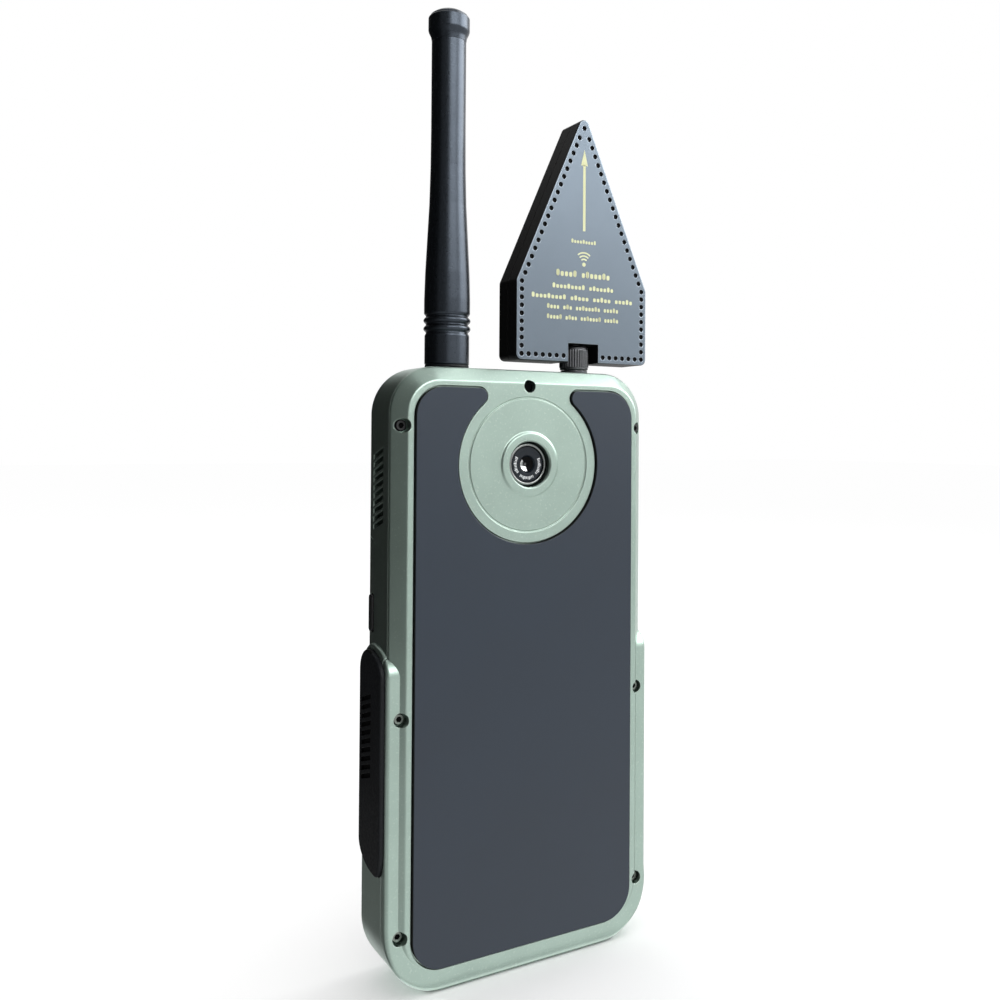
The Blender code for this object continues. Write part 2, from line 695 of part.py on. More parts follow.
def build_grip_pads():
    treads = slot_outlines(TREAD_TOP, TREAD_PITCH, TREAD_Y, TREAD_HEIGHT, VENT_DROP)
    crown = pad_outline(-PAD_ROUNDING)
    for side, sign, (inner, outer) in (("left", -1, LEFT_PAD), ("right", 1, RIGHT_PAD)):
        def span(low, high):
            return (low, high) if sign > 0 else (-high, -low)
        pad = extruded(f"grip_pad_{side}", crown, "x", *span(inner - MM, outer),
                       RUBBER, PARTS, PAD_ROUNDING)
        low_x, high_x = span(0.0, inner)
        back = box(f"pad_back_{side}", (low_x, -BODY_HEIGHT, 0.0),
                   (high_x, BODY_HEIGHT, BODY_HEIGHT))
        cut(pad, back, extruded(f"treads_{side}", treads, "x",
                                *span(outer - TREAD_DEPTH, outer + REACH)))
        smooth(pad)


def build_cover_screws():
    for index, (x, z) in enumerate(screw_places(), 1):
        seat = -SCREW_SEAT_Y + GAP
        top = seat + SCREW_HEAD_HEIGHT
        screw = turned(
            f"cover_screw_{index}",
            [(0.0, top), (SCREW_HEAD, top), (SCREW_HEAD, seat), (SCREW_SHANK, seat),
             (SCREW_SHANK, -SCREW_TIP_Y), (0.0, -SCREW_TIP_Y)],
            "y", (x, 0.0, z), BLACK_STEEL, PARTS, sides=SMALL_SIDES)
        socket = cylinder(f"socket_{index}", SOCKET_RADIUS, "y", -top - MM,
                          -top + SOCKET_DEPTH, (x, 0.0, z), sides=6)
        smooth(cut(screw, socket))


def build_front():
    glass = extruded(
        "touch_glass", rounded_outline(GLASS_HALF_WIDTH, GLASS_LOW, BODY_HEIGHT - GLASS_LOW,
                                       GLASS_RADIUS, GLASS_RADIUS),
        "y", GLASS_BACK_Y, GLASS_FRONT_Y, BLACK_GLASS, PARTS)
    smooth(glass)
    extruded("display_module",
             rounded_outline(DISPLAY_HALF_WIDTH, DISPLAY_LOW, DISPLAY_HIGH, MM, MM),
             "y", DISPLAY_BACK_Y, DISPLAY_FRONT_Y, TIN, PARTS)


def build_camera():
    centre = (0.0, 0.0, CAMERA_Z)
    barrel = turned(
        "lens_barrel",
        [(LENS_APERTURE, LENS_FACE), (LENS_FACE_RADIUS, LENS_FACE),
         (LENS_FACE_RADIUS, LENS_STEP), (BARREL_RADIUS, LENS_STEP),
         (BARREL_RADIUS, BARREL_END), (BARREL_BORE, BARREL_END), (BARREL_BORE, BARREL_WEB),
         (LENS_APERTURE, BARREL_WEB)],
        "y", centre, BLACK_PLASTIC, PARTS, closed=True)
    ring_low = LENS_STEP + GAP
    ring_middle = (RING_INNER + RING_OUTER) / 2
    ring = turned(
        "lens_ring",
        [(RING_INNER, LENS_FACE + RING_RISE), (ring_middle, LENS_FACE + RING_CROWN),
         (RING_OUTER, LENS_FACE + RING_RISE), (RING_OUTER, ring_low), (RING_INNER, ring_low)],
        "y", centre, STEEL, PARTS, closed=True)
    stem_low = BARREL_WEB - GAP
    seat = BARREL_BORE - GAP
    glass = turned(
        "lens_glass",
        [(0.0, LENS_CROWN), (LENS_RADIUS / 2, (3 * LENS_CROWN + LENS_SHOULDER) / 4),
         (LENS_RADIUS, LENS_SHOULDER), (LENS_RADIUS, stem_low), (seat, stem_low),
         (seat, BARREL_END + GAP), (0.0, BARREL_END + GAP)],
        "y", centre, LENS, PARTS)
    for piece in (barrel, ring, glass):
        smooth(piece)
    module = box("camera_module", (-MODULE_HALF, MODULE_Y[0], CAMERA_Z - MODULE_HALF),
                 (MODULE_HALF, MODULE_Y[1], CAMERA_Z + MODULE_HALF), BLACK_PLASTIC, PARTS)
    round_edges(module, MODULE_ROUNDING)
    smooth(cylinder("rear_microphone", PINHOLE_RADIUS - GAP, "y", *MICROPHONE_Y,
                    (0.0, 0.0, PINHOLE_Z), BLACK_PLASTIC, PARTS))


def build_electronics():
    board = box("main_board", (-BOARD_HALF_WIDTH, BOARD_Y, DISPLAY_LOW),
                (BOARD_HALF_WIDTH, BOARD_Y + BOARD_THICKNESS, DISPLAY_HIGH), CIRCUIT, PARTS)
    cut(board, box("board_notch", (-HALF_WIDTH, 0.0, BOARD_NOTCH_Z[0]),
                   (BOARD_NOTCH_X, FRONT_Y, BOARD_NOTCH_Z[1])))
    battery = box("battery_pack", (-BATTERY_HALF_WIDTH, BATTERY_Y[0], BATTERY_Z[0]),
                  (BATTERY_HALF_WIDTH, BATTERY_Y[1], BATTERY_Z[1]), FOIL, PARTS)
    round_edges(battery, BATTERY_ROUNDING)
    shield_low = Vector((SHIELD_X[0], 0.0, SHIELD_LOW))
    shield_high = Vector((SHIELD_X[1], BOARD_Y - GAP, SHIELD_TOP))
    skin = Vector((SHIELD_SKIN, SHIELD_SKIN, SHIELD_SKIN))
    shield = box("rf_shield", shield_low, shield_high, TIN, PARTS)
    cut(shield, box("shield_hollow", shield_low + skin,
                    shield_high - skin + Vector((0.0, REACH, 0.0))))
    speaker = box("speaker", *zip(SPEAKER_X, SPEAKER_Y, SPEAKER_Z), BLACK_PLASTIC, PARTS)
    round_edges(speaker, SPEAKER_ROUNDING)
    port = extruded("usb_port", port_outline(0.0), "z", PORT_LOW, PORT_HIGH, TIN, PARTS)
    mouth = extruded("usb_mouth", port_outline(-PORT_SKIN), "z", -MM, PORT_MOUTH_HIGH)
    cut(mouth, box("usb_tongue", (-TONGUE_HALF_WIDTH, -TONGUE_HALF_DEPTH, TONGUE_LOW),
                   (TONGUE_HALF_WIDTH, TONGUE_HALF_DEPTH, PORT_HIGH + MM)))
    smooth(cut(port, mouth))


def build_power_button():
    flange_outer = HALF_WIDTH - WALL - BUTTON_STROKE
    flange_inner = flange_outer - FLANGE_THICKNESS
    button = extruded(
        "power_button", rounded_box_outline((BUTTON_Y[0], BUTTON_Z[0]),
                                            (BUTTON_Y[1], BUTTON_Z[1]), BUTTON_RADIUS),
        "x", -BUTTON_OUTER, -flange_inner, BLACK_PLASTIC, PARTS)
    flange = extruded(
        "button_flange",
        rounded_box_outline((BUTTON_Y[0] - BUTTON_FLANGE, BUTTON_Z[0] - BUTTON_FLANGE),
                            (BUTTON_Y[1] + GAP, BUTTON_Z[1] + BUTTON_FLANGE), BUTTON_RADIUS),
        "x", -flange_outer, -flange_inner)
    smooth(join(button, flange))
    middle = sum(BUTTON_Z) / 2
    box("button_switch", (SWITCH_X[0], BUTTON_Y[0], middle - SWITCH_HALF_HEIGHT),
        (SWITCH_X[1], BUTTON_Y[1] - BUTTON_STROKE, middle + SWITCH_HALF_HEIGHT),
        BLACK_STEEL, PARTS)


def build_fan():
    rear, front = FAN_Y
    back_plate = front - FAN_BACK_PLATE
    centre = (FAN_X, 0.0, FAN_Z)
    housing = box("fan_housing", (FAN_X - FAN_HALF, rear, FAN_Z - FAN_HALF),
                  (FAN_X + FAN_HALF, front, FAN_Z + FAN_HALF), BLACK_PLASTIC, PARTS)
    bore = cylinder("fan_bore", FAN_BORE, "y", rear - REACH, back_plate, centre,
                    sides=ROUND_SIDES)
    outlet = box("fan_outlet", (FAN_X - FAN_HALF - MM, rear + FAN_RIM, FAN_Z - FAN_OUTLET_HALF),
                 (FAN_X, back_plate, FAN_Z + FAN_OUTLET_HALF))
    pin = cylinder("fan_pin", FAN_PIN, "y", rear + FAN_RIM, (back_plate + front) / 2, centre)
    join(cut(housing, bore, outlet), pin)
    rotor_rear, rotor_front = rear + MM, back_plate - GAP
    rotor = cylinder("fan_rotor", HUB_RADIUS, "y", rotor_rear, rotor_front, centre,
                     BLACK_PLASTIC, PARTS)
    for index in range(BLADE_COUNT):
        blade = box(f"fan_blade_{index + 1}",
                    (BLADE_ROOT, rotor_rear + GAP, -BLADE_HALF),
                    (BLADE_TIP, rotor_front - GAP, BLADE_HALF))
        turn = Matrix.Rotation(2 * math.pi * index / BLADE_COUNT, 4, "Y")
        middle = Matrix.Translation(blade.location)
        blade.matrix_world = Matrix.Translation(centre) @ turn @ middle
        join(rotor, blade)
    smooth(cut(rotor, cylinder("rotor_bore", FAN_PIN + GAP, "y", rotor_rear - MM,
                               rotor_front + MM, centre)))


def build_jacks():
    flange_low = BODY_HEIGHT + GAP
    flange_high = flange_low + JACK_FLANGE_HEIGHT
    thread_end = JACK_TOP - GAP
    for side, sign in (("left", -1), ("right", 1)):
        centre = (sign * ANTENNA_X, 0.0, 0.0)
        smooth(turned(
            f"antenna_jack_{side}",
            [(0.0, CONTACT_LOW), (CONTACT_RADIUS, CONTACT_LOW), (CONTACT_RADIUS, JACK_TOP),
             (JACK_RADIUS - GAP, JACK_TOP), (JACK_RADIUS, thread_end),
             (JACK_RADIUS, flange_high), (JACK_FLANGE, flange_high), (JACK_FLANGE, flange_low),
             (JACK_RADIUS, flange_low), (JACK_RADIUS, JACK_SHOULDER),
             (JACK_TAIL, JACK_SHOULDER), (JACK_TAIL, JACK_END), (0.0, JACK_END)],
            "z", centre, BLACK_STEEL, PARTS, sides=TURNED_SIDES))
        nut_high = BODY_HEIGHT - FLOOR - GAP
        nut = cylinder(f"jack_nut_{side}", JACK_NUT_RADIUS, "z", nut_high - JACK_NUT_HEIGHT,
                       nut_high, centre, TIN, PARTS, sides=6)
        cut(nut, cylinder(f"jack_nut_bore_{side}", JACK_RADIUS + GAP, "z",
                          nut_high - 2 * REACH, nut_high + REACH, centre))


def ease(t):
    """Smooth step from 0 to 1."""
    t = min(max(t, 0.0), 1.0)
    return t * t * (3 - 2 * t)


def build_coax():
    """Thin coaxial leads from the inner ends of the jacks down to the shield can."""
    high, low = JACK_END - GAP, SHIELD_TOP + GAP
    for side, start_x, end_x in (("left", -ANTENNA_X, COAX_LEFT_END_X),
                                 ("right", ANTENNA_X, ANTENNA_X)):
        curve = bpy.data.curves.new(f"antenna_coax_{side}", "CURVE")
        curve.dimensions = "3D"
        curve.bevel_depth = COAX_RADIUS
        curve.bevel_resolution = 2
        curve.use_fill_caps = True
        spline = curve.splines.new("POLY")
        spline.points.add(COAX_POINTS - 1)
        for index, point in enumerate(spline.points):
            t = index / (COAX_POINTS - 1)
            x = start_x + (end_x - start_x) * ease(t / COAX_BEND)
            point.co = (x, COAX_OFFSET_Y * ease(t), high + (low - high) * t, 1.0)
        curve.materials.append(BLACK_PLASTIC)
        PARTS.objects.link(bpy.data.objects.new(f"antenna_coax_{side}", curve))


def rod_profile():
    """Outer side of the rod antenna's sheath: taper, ribs between three grooves, foot."""
    flare = ROD_TAPER[-1][0]
    rib_side = ROD_RIB_RADIUS - ROD_GROOVE_HALF
    points = [(ROD_TIP_RADIUS, ROD_CAP_LOW - GAP), *ROD_TAPER,
              (flare, ROD_GROOVE_Z + ROD_RIB_FLANK)]
    for index in range(3):
        centre = ROD_GROOVE_Z - index * ROD_RIB_PITCH
        points.append((ROD_GROOVE_RADIUS, centre + ROD_GROOVE_HALF))
        points.append((ROD_GROOVE_RADIUS, centre - ROD_GROOVE_HALF))
        if index < 2:
            points.append((rib_side, centre - ROD_RIB_FLANK))
            points.append((ROD_RIB_RADIUS, centre - ROD_RIB_PITCH / 2))
            points.append((rib_side, centre - ROD_RIB_PITCH + ROD_RIB_FLANK))
    foot_top = ROD_GROOVE_Z - 2 * ROD_RIB_PITCH - ROD_RIB_FLANK
    return points + [(ROD_FOOT_RADIUS, foot_top), (ROD_FOOT_RADIUS, ROD_BASE)]


def build_rod_antenna():
    centre = (-ANTENNA_X, 0.0, 0.0)
    inside = [(ROD_SOCKET, ROD_BASE), (ROD_SOCKET, ROD_SOCKET_TOP), (ROD_BORE, ROD_SOCKET_TOP),
              (ROD_BORE, ROD_CAP_LOW - GAP)]
    smooth(turned("rod_antenna_sheath", rod_profile() + inside, "z", centre, RUBBER, PARTS,
                  closed=True, sides=TURNED_SIDES))
    plug, plug_low = ROD_BORE - GAP, ROD_CAP_LOW - ROD_CAP_PLUG
    smooth(turned(
        "rod_antenna_cap",
        [(0.0, ROD_TOP), *((ROD_CAP_RADIUS - inset, ROD_TOP - drop)
                           for inset, drop in ROD_CAP_CROWN),
         (ROD_CAP_RADIUS, ROD_TOP - ROD_CAP_SIDE), (ROD_TIP_RADIUS, ROD_CAP_LOW + ROD_CAP_LIP),
         (ROD_TIP_RADIUS, ROD_CAP_LOW), (plug, ROD_CAP_LOW), (plug, plug_low),
         (0.0, plug_low)],
        "z", centre, RUBBER, PARTS, sides=TURNED_SIDES))
    web_low, web_high = JACK_TOP + 2 * GAP, ROD_SOCKET_TOP - GAP
    outer, thread = ROD_SOCKET - GAP, JACK_RADIUS + GAP
    plug_base = ROD_BASE + GAP
    smooth(turned(
        "rod_antenna_plug",
        [(PLUG_BORE, web_high), (outer, web_high), (outer, plug_base), (thread, plug_base),
         (thread, web_low), (PLUG_BORE, web_low)],
        "z", centre, BRASS, PARTS, closed=True, sides=TURNED_SIDES))
    smooth(turned(
        "rod_antenna_radiator",
        [(0.0, RADIATOR_TOP), (RADIATOR_RADIUS, RADIATOR_TOP), (RADIATOR_RADIUS, web_low),
         (PIN_RADIUS, web_low), (PIN_RADIUS, PIN_LOW), (0.0, PIN_LOW)],
        "z", centre, BRASS, PARTS, sides=SMALL_SIDES))
    gasket_low = BODY_HEIGHT + GAP
    gasket_high = gasket_low + GASKET_HEIGHT
    smooth(turned(
        "rod_antenna_gasket",
        [(GASKET_BORE, gasket_high), (GASKET_RADIUS, gasket_high), (GASKET_RADIUS, gasket_low),
         (GASKET_BORE, gasket_low)],
        "z", centre, RUBBER, PARTS, closed=True, sides=TURNED_SIDES))


def log_outline(inset):
    """Arrow-shaped outline of the directional antenna, notched at the bottom for its nut."""
    slope = math.degrees(math.atan2(LOG_APEX - LOG_SHOULDER, LOG_HALF_WIDTH))
    width = LOG_HALF_WIDTH - inset
    low = LOG_LOW + inset
    radius = LOG_CORNER - min(inset, LOG_CORNER / 2)
    apex = LOG_APEX - inset / math.cos(math.radians(slope))
    shoulder = apex - width * math.tan(math.radians(slope))
    turn = 90 - slope
    apex_z = apex - radius / math.cos(math.radians(slope))
    right = [(NOTCH_HALF_WIDTH + inset, NOTCH_TOP + inset), (NOTCH_HALF_WIDTH + inset, low)]
    right += arc((width - radius, low + radius), radius, -90, 0)
    bend = radius * math.tan(math.radians(turn) / 2)
    right += arc((width - radius, shoulder - bend), radius, 0, turn)
    right += arc((0.0, apex_z), radius, turn, 90)[:-1]
    return mirrored(right, [(0.0, apex_z + radius)])


def build_directional_antenna():
    centre = (ANTENNA_X, 0.0, 0.0)
    wall_y = LOG_HALF_DEPTH - LOG_WALL
    shells = (("rear", -LOG_HALF_DEPTH, -GAP / 2, -wall_y, REACH),
              ("front", GAP / 2, LOG_HALF_DEPTH, -REACH, wall_y))
    for side, start, end, hollow_start, hollow_end in shells:
        shell = extruded(f"directional_antenna_{side}_shell", log_outline(0.0), "y",
                         start, end, ANTENNA_PLASTIC, PARTS)
        hollow = extruded(f"{side}_shell_hollow", log_outline(LOG_WALL), "y",
                          hollow_start, hollow_end)
        passage = cylinder(f"{side}_shell_passage", NECK_RADIUS + GAP, "z", NOTCH_TOP - MM,
                           NOTCH_TOP + LOG_WALL + MM, (0.0, 0.0, 0.0))
        for tool in (shell, hollow, passage):
            tool.location.x += ANTENNA_X
        smooth(cut(shell, hollow, passage))
    board = extruded("directional_antenna_board", log_outline(LOG_WALL + GAP), "y",
                     -LOG_BOARD_HALF, LOG_BOARD_HALF, CIRCUIT, PARTS)
    board.location.x += ANTENNA_X
    flange_low = NOTCH_TOP + LOG_WALL + GAP
    flange_high = flange_low + NECK_FLANGE_HEIGHT
    cut(board, box("board_foot", (ANTENNA_X - NOTCH_HALF_WIDTH, -REACH, LOG_LOW),
                   (ANTENNA_X + NOTCH_HALF_WIDTH, REACH, flange_high + GAP)))
    collar_low = JACK_TOP + GAP
    collar_high = NUT_HIGH - NUT_LIP
    smooth(turned(
        "directional_antenna_plug",
        [(0.0, flange_high), (NECK_FLANGE, flange_high), (NECK_FLANGE, flange_low),
         (NECK_RADIUS, flange_low), (NECK_RADIUS, collar_high), (JACK_RADIUS, collar_high),
         (JACK_RADIUS, collar_low), (PIN_RADIUS, collar_low), (PIN_RADIUS, PIN_LOW),
         (0.0, PIN_LOW)],
        "z", centre, BRASS, PARTS, sides=TURNED_SIDES))
    lip_low = collar_high + GAP
    throat, thread = NECK_RADIUS + GAP, JACK_RADIUS + GAP
    smooth(turned(
        "directional_antenna_nut",
        [(throat, NUT_HIGH), (NUT_RADIUS - NUT_CHAMFER, NUT_HIGH),
         (NUT_RADIUS, NUT_HIGH - NUT_CHAMFER), (NUT_RADIUS, NUT_LOW), (thread, NUT_LOW),
         (thread, lip_low), (throat, lip_low)],
        "z", centre, BLACK_STEEL, PARTS, closed=True, sides=TURNED_SIDES))


build_rear_cover()
build_main_frame()
build_rear_panel()
build_grip_pads()
build_cover_screws()
build_front()
build_camera()
build_electronics()
build_power_button()
build_fan()
build_jacks()
build_coax()
build_rod_antenna()
build_directional_antenna()
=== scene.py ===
"""Looks of the handheld spectrum analyzer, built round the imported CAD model.

The frame is the CAD's own: metres, +Z up, the camera side faces -Y, the touch screen faces +Y.
The metal body, the panel, the grips, the lens and both antennas are rebuilt finely; parts that
stay hidden inside keep their CAD shape and get a finish of their own.
"""

import json
import math

import bmesh
import bpy
from mathutils import Matrix, Vector


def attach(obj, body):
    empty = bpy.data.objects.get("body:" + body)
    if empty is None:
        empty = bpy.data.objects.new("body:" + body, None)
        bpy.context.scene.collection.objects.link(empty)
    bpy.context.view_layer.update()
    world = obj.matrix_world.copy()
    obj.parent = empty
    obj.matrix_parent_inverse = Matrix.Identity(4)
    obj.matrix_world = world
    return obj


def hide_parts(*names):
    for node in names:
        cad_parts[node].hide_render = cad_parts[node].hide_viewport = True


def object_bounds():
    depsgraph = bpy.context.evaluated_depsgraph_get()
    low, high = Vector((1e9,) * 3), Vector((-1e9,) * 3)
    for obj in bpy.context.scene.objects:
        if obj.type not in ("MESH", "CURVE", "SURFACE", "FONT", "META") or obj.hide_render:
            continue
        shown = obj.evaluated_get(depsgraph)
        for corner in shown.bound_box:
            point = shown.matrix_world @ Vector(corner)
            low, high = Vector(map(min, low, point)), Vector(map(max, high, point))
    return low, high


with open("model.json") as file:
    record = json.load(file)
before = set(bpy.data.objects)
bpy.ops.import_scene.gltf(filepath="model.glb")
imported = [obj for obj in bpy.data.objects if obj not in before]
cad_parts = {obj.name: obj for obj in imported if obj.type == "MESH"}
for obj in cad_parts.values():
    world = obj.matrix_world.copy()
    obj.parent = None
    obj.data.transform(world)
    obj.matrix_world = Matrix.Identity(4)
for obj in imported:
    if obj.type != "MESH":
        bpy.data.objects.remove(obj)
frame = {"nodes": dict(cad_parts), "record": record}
CAD_LOW, CAD_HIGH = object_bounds()

MM = 0.001
GAP = 0.3 * MM
REACH = 3.0 * MM

# Body.
BODY_HEIGHT = 190.0 * MM
HALF_WIDTH = 46.1 * MM
GRIP_HALF_WIDTH = 47.6 * MM
REAR_Y = -11.75 * MM
FRONT_Y = 12.5 * MM
CHAMFER = 4.3 * MM
SLAB_LOW = 0.4 * MM
TOP_RADIUS = 15.0 * MM
BASE_RADIUS = 19.5 * MM
SEAM_Y = -7.2 * MM
SHOULDER_Y = 10.25 * MM
ARCH_TOP = 104.4 * MM
ARCH_HEIGHT = 8.3 * MM
ARCH_CREST_Y = 3.0 * MM
RAMP_LOW = 8.2 * MM
RAMP_HIGH = 22.0 * MM
FORM_ROUNDING = 1.5 * MM
GRIP_REAR_Y = -11.74 * MM
SOFT_EDGE = 0.6 * MM
WALL = 2.5 * MM
FLOOR_WALL = 2.6 * MM

# Rear panel.
PANEL_HALF_WIDTH = 39.85 * MM
PANEL_LOW = 6.9 * MM
PANEL_HIGH = 184.0 * MM
PANEL_LOW_RADIUS = 10.5 * MM
PANEL_HIGH_RADIUS = 9.5 * MM
PANEL_JOINT = 0.475 * MM
PANEL_FACE_Y = -12.5 * MM
PANEL_BACK_Y = -10.45 * MM
POCKET_Y = -10.15 * MM

# Camera.
CAMERA_Z = 159.6 * MM
BOSS_RADIUS = 25.0 * MM
LOBE_RADIUS = 3.0 * MM
GROOVE_RADIUS = 21.4 * MM
GROOVE_HALF_WIDTH = 0.4 * MM
GROOVE_DEPTH = 0.3 * MM
LIP_RADIUS = 9.7 * MM
LIP_RISE = 0.75 * MM
LIP_FLANK = ((0.35 * MM, 0.62 * MM), (0.6 * MM, 0.3 * MM), (1.2 * MM, -0.1 * MM))
CAMERA_BORE = 7.3 * MM
PINHOLE_Z = 184.6 * MM
PINHOLE_RADIUS = 2.1 * MM
HOUSING_RADIUS = 7.0 * MM
HOUSING_BORE = 5.0 * MM
HOUSING_BACK = 3.0 * MM
LENS_FACE_OUT = 10.3 * MM
LENS_FACE_RADIUS = 5.6 * MM
LENS_STEP = 0.8 * MM
LENS_MOUTH = 2.9 * MM
LENS_THROAT = 2.15 * MM
LENS_SHELF = 6.5 * MM
TRIM_RADII = (5.9 * MM, 6.3 * MM, 6.7 * MM)
TRIM_RISES = (0.3 * MM, 0.45 * MM, 0.3 * MM)
DOME_RADIUS = 2.0 * MM
DOME_RISE = 0.7 * MM
DOME_FOOT = 8.2 * MM
LENS_BLOCK_RADIUS = 4.7 * MM
LENS_BLOCK = (3.3 * MM, 6.2 * MM)
CONE_PROFILE = ((0.45 * MM, 1.3 * MM), (2.3 * MM, 0.45 * MM), (2.45 * MM, 0.62 * MM),
                (2.1 * MM, 1.15 * MM), (0.5 * MM, 1.37 * MM))
# A patch of the lens cone stays bright steel as a painted glint; the rest of the cone is
# painted shade.
GLINT_RIGHT = 0.1 * MM
GLINT_DROP = 0.3 * MM
GLINT_HALF_HEIGHT = 1.2 * MM
SCALE_MARKS = 40
SCALE_GAP = 13
SCALE_START = -215
SCALE_SWEEP = 250
SCALE_INNER = 3.95 * MM
SCALE_OUTER = (4.85, 5.0, 4.85, 4.7)
SCALE_WIDTHS = (0.2, 0.4, 0.24, 0.32)

# Screws.
SCREW_X = 43.0 * MM
SCREW_HEIGHTS = (171.6 * MM, 83.4 * MM, 18.6 * MM)
SCREW_POCKET = 2.15 * MM
SCREW_HEAD = 1.85 * MM
SCREW_SEAT_Y = -8.0 * MM
SCREW_SHANK = 1.0 * MM
SCREW_TIP_Y = -1.0 * MM
SCREW_HEAD_HEIGHT = 0.8 * MM
# Radius beyond which a screw head is painted as shade.
SCREW_SHADE_RADIUS = 1.6 * MM
SOCKET_RADIUS = 0.9 * MM
SOCKET_DEPTH = 0.6 * MM
POST_RADIUS = 2.7 * MM
# Screws higher than this get the black look as painted shade of their deep pockets.
SHADED_SCREW_Z = 150.0 * MM

# Touch side.
FRONT_WALL_Y = 8.2 * MM
GLASS_HALF_WIDTH = 38.7 * MM
GLASS_LOW = 7.3 * MM
GLASS_RADIUS = 4.7 * MM
GLASS_Y = (11.2 * MM, 12.0 * MM)
DISPLAY_HALF_WIDTH = 34.6 * MM
DISPLAY_LOW = 14.0 * MM
WINDOW = (36.5 * MM, 10.0 * MM, 3.0 * MM)
REAR_HOLLOW = (40.0 * MM, 8.0 * MM, 182.0 * MM, 10.0 * MM, 8.0 * MM)
PRINT_RISE = 0.02 * MM

# Side slots, pads and button.
SLOT_COUNT = 10
VENT_TOP = 165.0 * MM
VENT_PITCH = 2.41 * MM
VENT_Y = (-2.45 * MM, 5.45 * MM)
SLOT_HEIGHT = 1.4 * MM
SLOT_DROP = 2.6 * MM
TREAD_TOP = 90.0 * MM
TREAD_PITCH = 2.65 * MM
TREAD_Y = (-1.25 * MM, 6.65 * MM)
TREAD_DEPTH = 0.6 * MM
TREAD_FLOOR_Z = 60.0 * MM
MARK_Y = (3.4 * MM, 7.4 * MM)
MARK_Z = 136.5 * MM
MARK_HEIGHT = 0.5 * MM
LEFT_PAD = (47.2 * MM, 49.0 * MM)
RIGHT_PAD = (46.6 * MM, 47.7 * MM)
PAD_HALF_DEPTH = 8.85 * MM
PAD_TOP = 102.7 * MM
PAD_CREST = (2.75 * MM, 7.0 * MM)
PAD_LOW = 36.0 * MM
PAD_TOE = (-4.75 * MM, 8.0 * MM)
BUTTON_Y = (4.7 * MM, 7.6 * MM)
BUTTON_Z = (107.5 * MM, 119.1 * MM)
BUTTON_OUTER = 46.7 * MM
BUTTON_SLOT_RADIUS = 1.5 * MM
BUTTON_RADIUS = 1.2 * MM
BUTTON_FLANGE = 0.8 * MM
PORT_HALF = (4.8 * MM, 1.9 * MM)
PORT_RADIUS = 1.8 * MM
SOUND_HOLES = 5
SOUND_X = 11.0 * MM
SOUND_PITCH = 3.0 * MM
SOUND_Y = -3.0 * MM
SOUND_RADIUS = 0.8 * MM

# Antennas.
ANTENNA_X = 23.9 * MM
JACK_RADIUS = 3.15 * MM
JACK_TOP = 196.5 * MM
JACK_COLLAR = 4.6 * MM
JACK_COLLAR_Z = (190.1 * MM, 191.0 * MM)
JACK_SHOULDER_Z = 182.0 * MM
JACK_TAIL_RADIUS = 1.2 * MM
JACK_TAIL_Z = 179.5 * MM
JACK_SOCKET_RADIUS = 0.75 * MM
JACK_SOCKET_Z = 192.0 * MM
THREAD_TURNS = 7
THREAD_PITCH = 0.7 * MM
THREAD_DEPTH = 0.22 * MM
ROD_BASE = 191.2 * MM
ROD_TOP = 303.9 * MM
ROD_CAP_LOW = 294.3 * MM
ROD_CAP_RADIUS = 6.6 * MM
ROD_TIP_RADIUS = 5.5 * MM
ROD_FOOT_RADIUS = 7.1 * MM
ROD_RIB_RADIUS = 7.5 * MM
ROD_RIB_PITCH = 2.6 * MM
ROD_GROOVE_Z = 206.4 * MM
ROD_GROOVE_RADIUS = 6.7 * MM
ROD_GROOVES = 3
ROD_FLANK = 0.8 * MM
ROD_BORE = 5.0 * MM
ROD_BORE_TOP = 201.0 * MM
ROD_CORE = 2.4 * MM
CAP_STEM = 2.1 * MM
CAP_STEM_LENGTH = 3.0 * MM
SEAL_BORE = 4.95 * MM
SEAL_Z = (190.15 * MM, 190.95 * MM)
ROD_TAPER = ((5.5 * MM, 266.0 * MM), (5.6 * MM, 253.5 * MM), (5.9 * MM, 242.0 * MM),
             (6.3 * MM, 234.4 * MM), (6.7 * MM, 226.8 * MM), (7.05 * MM, 220.0 * MM),
             (7.3 * MM, 211.5 * MM))
LOG_HALF_WIDTH = 25.9 * MM
LOG_HALF_DEPTH = 6.1 * MM
LOG_LOW = 193.6 * MM
LOG_SHOULDER = 219.7 * MM
LOG_APEX = 278.8 * MM
LOG_CORNER = 2.0 * MM
LOG_WALL = 1.5 * MM
NOTCH_HALF_WIDTH = 5.85 * MM
NOTCH_TOP = 199.8 * MM
NUT_RADIUS = 5.0 * MM
NUT_LOW = 191.3 * MM
NUT_HIGH = 199.4 * MM
NUT_THROAT = 2.5 * MM
NUT_SHELF = 1.1 * MM
NUT_TEETH = 34
TOOTH_DEPTH = 0.26 * MM
DIMPLE_INSET = 2.0 * MM
DIMPLE_FIRST = 1.9 * MM
DIMPLE_APEX_DROP = 0.9 * MM
DIMPLE_COUNTS = (19, 10, 7)
DIMPLE_RADIUS = 0.84 * MM
DIMPLE_STEPS = ((1.25, 0.1), (1.25, 0.0), (1.0, -0.12), (0.95, -0.6), (0.6, -0.9))

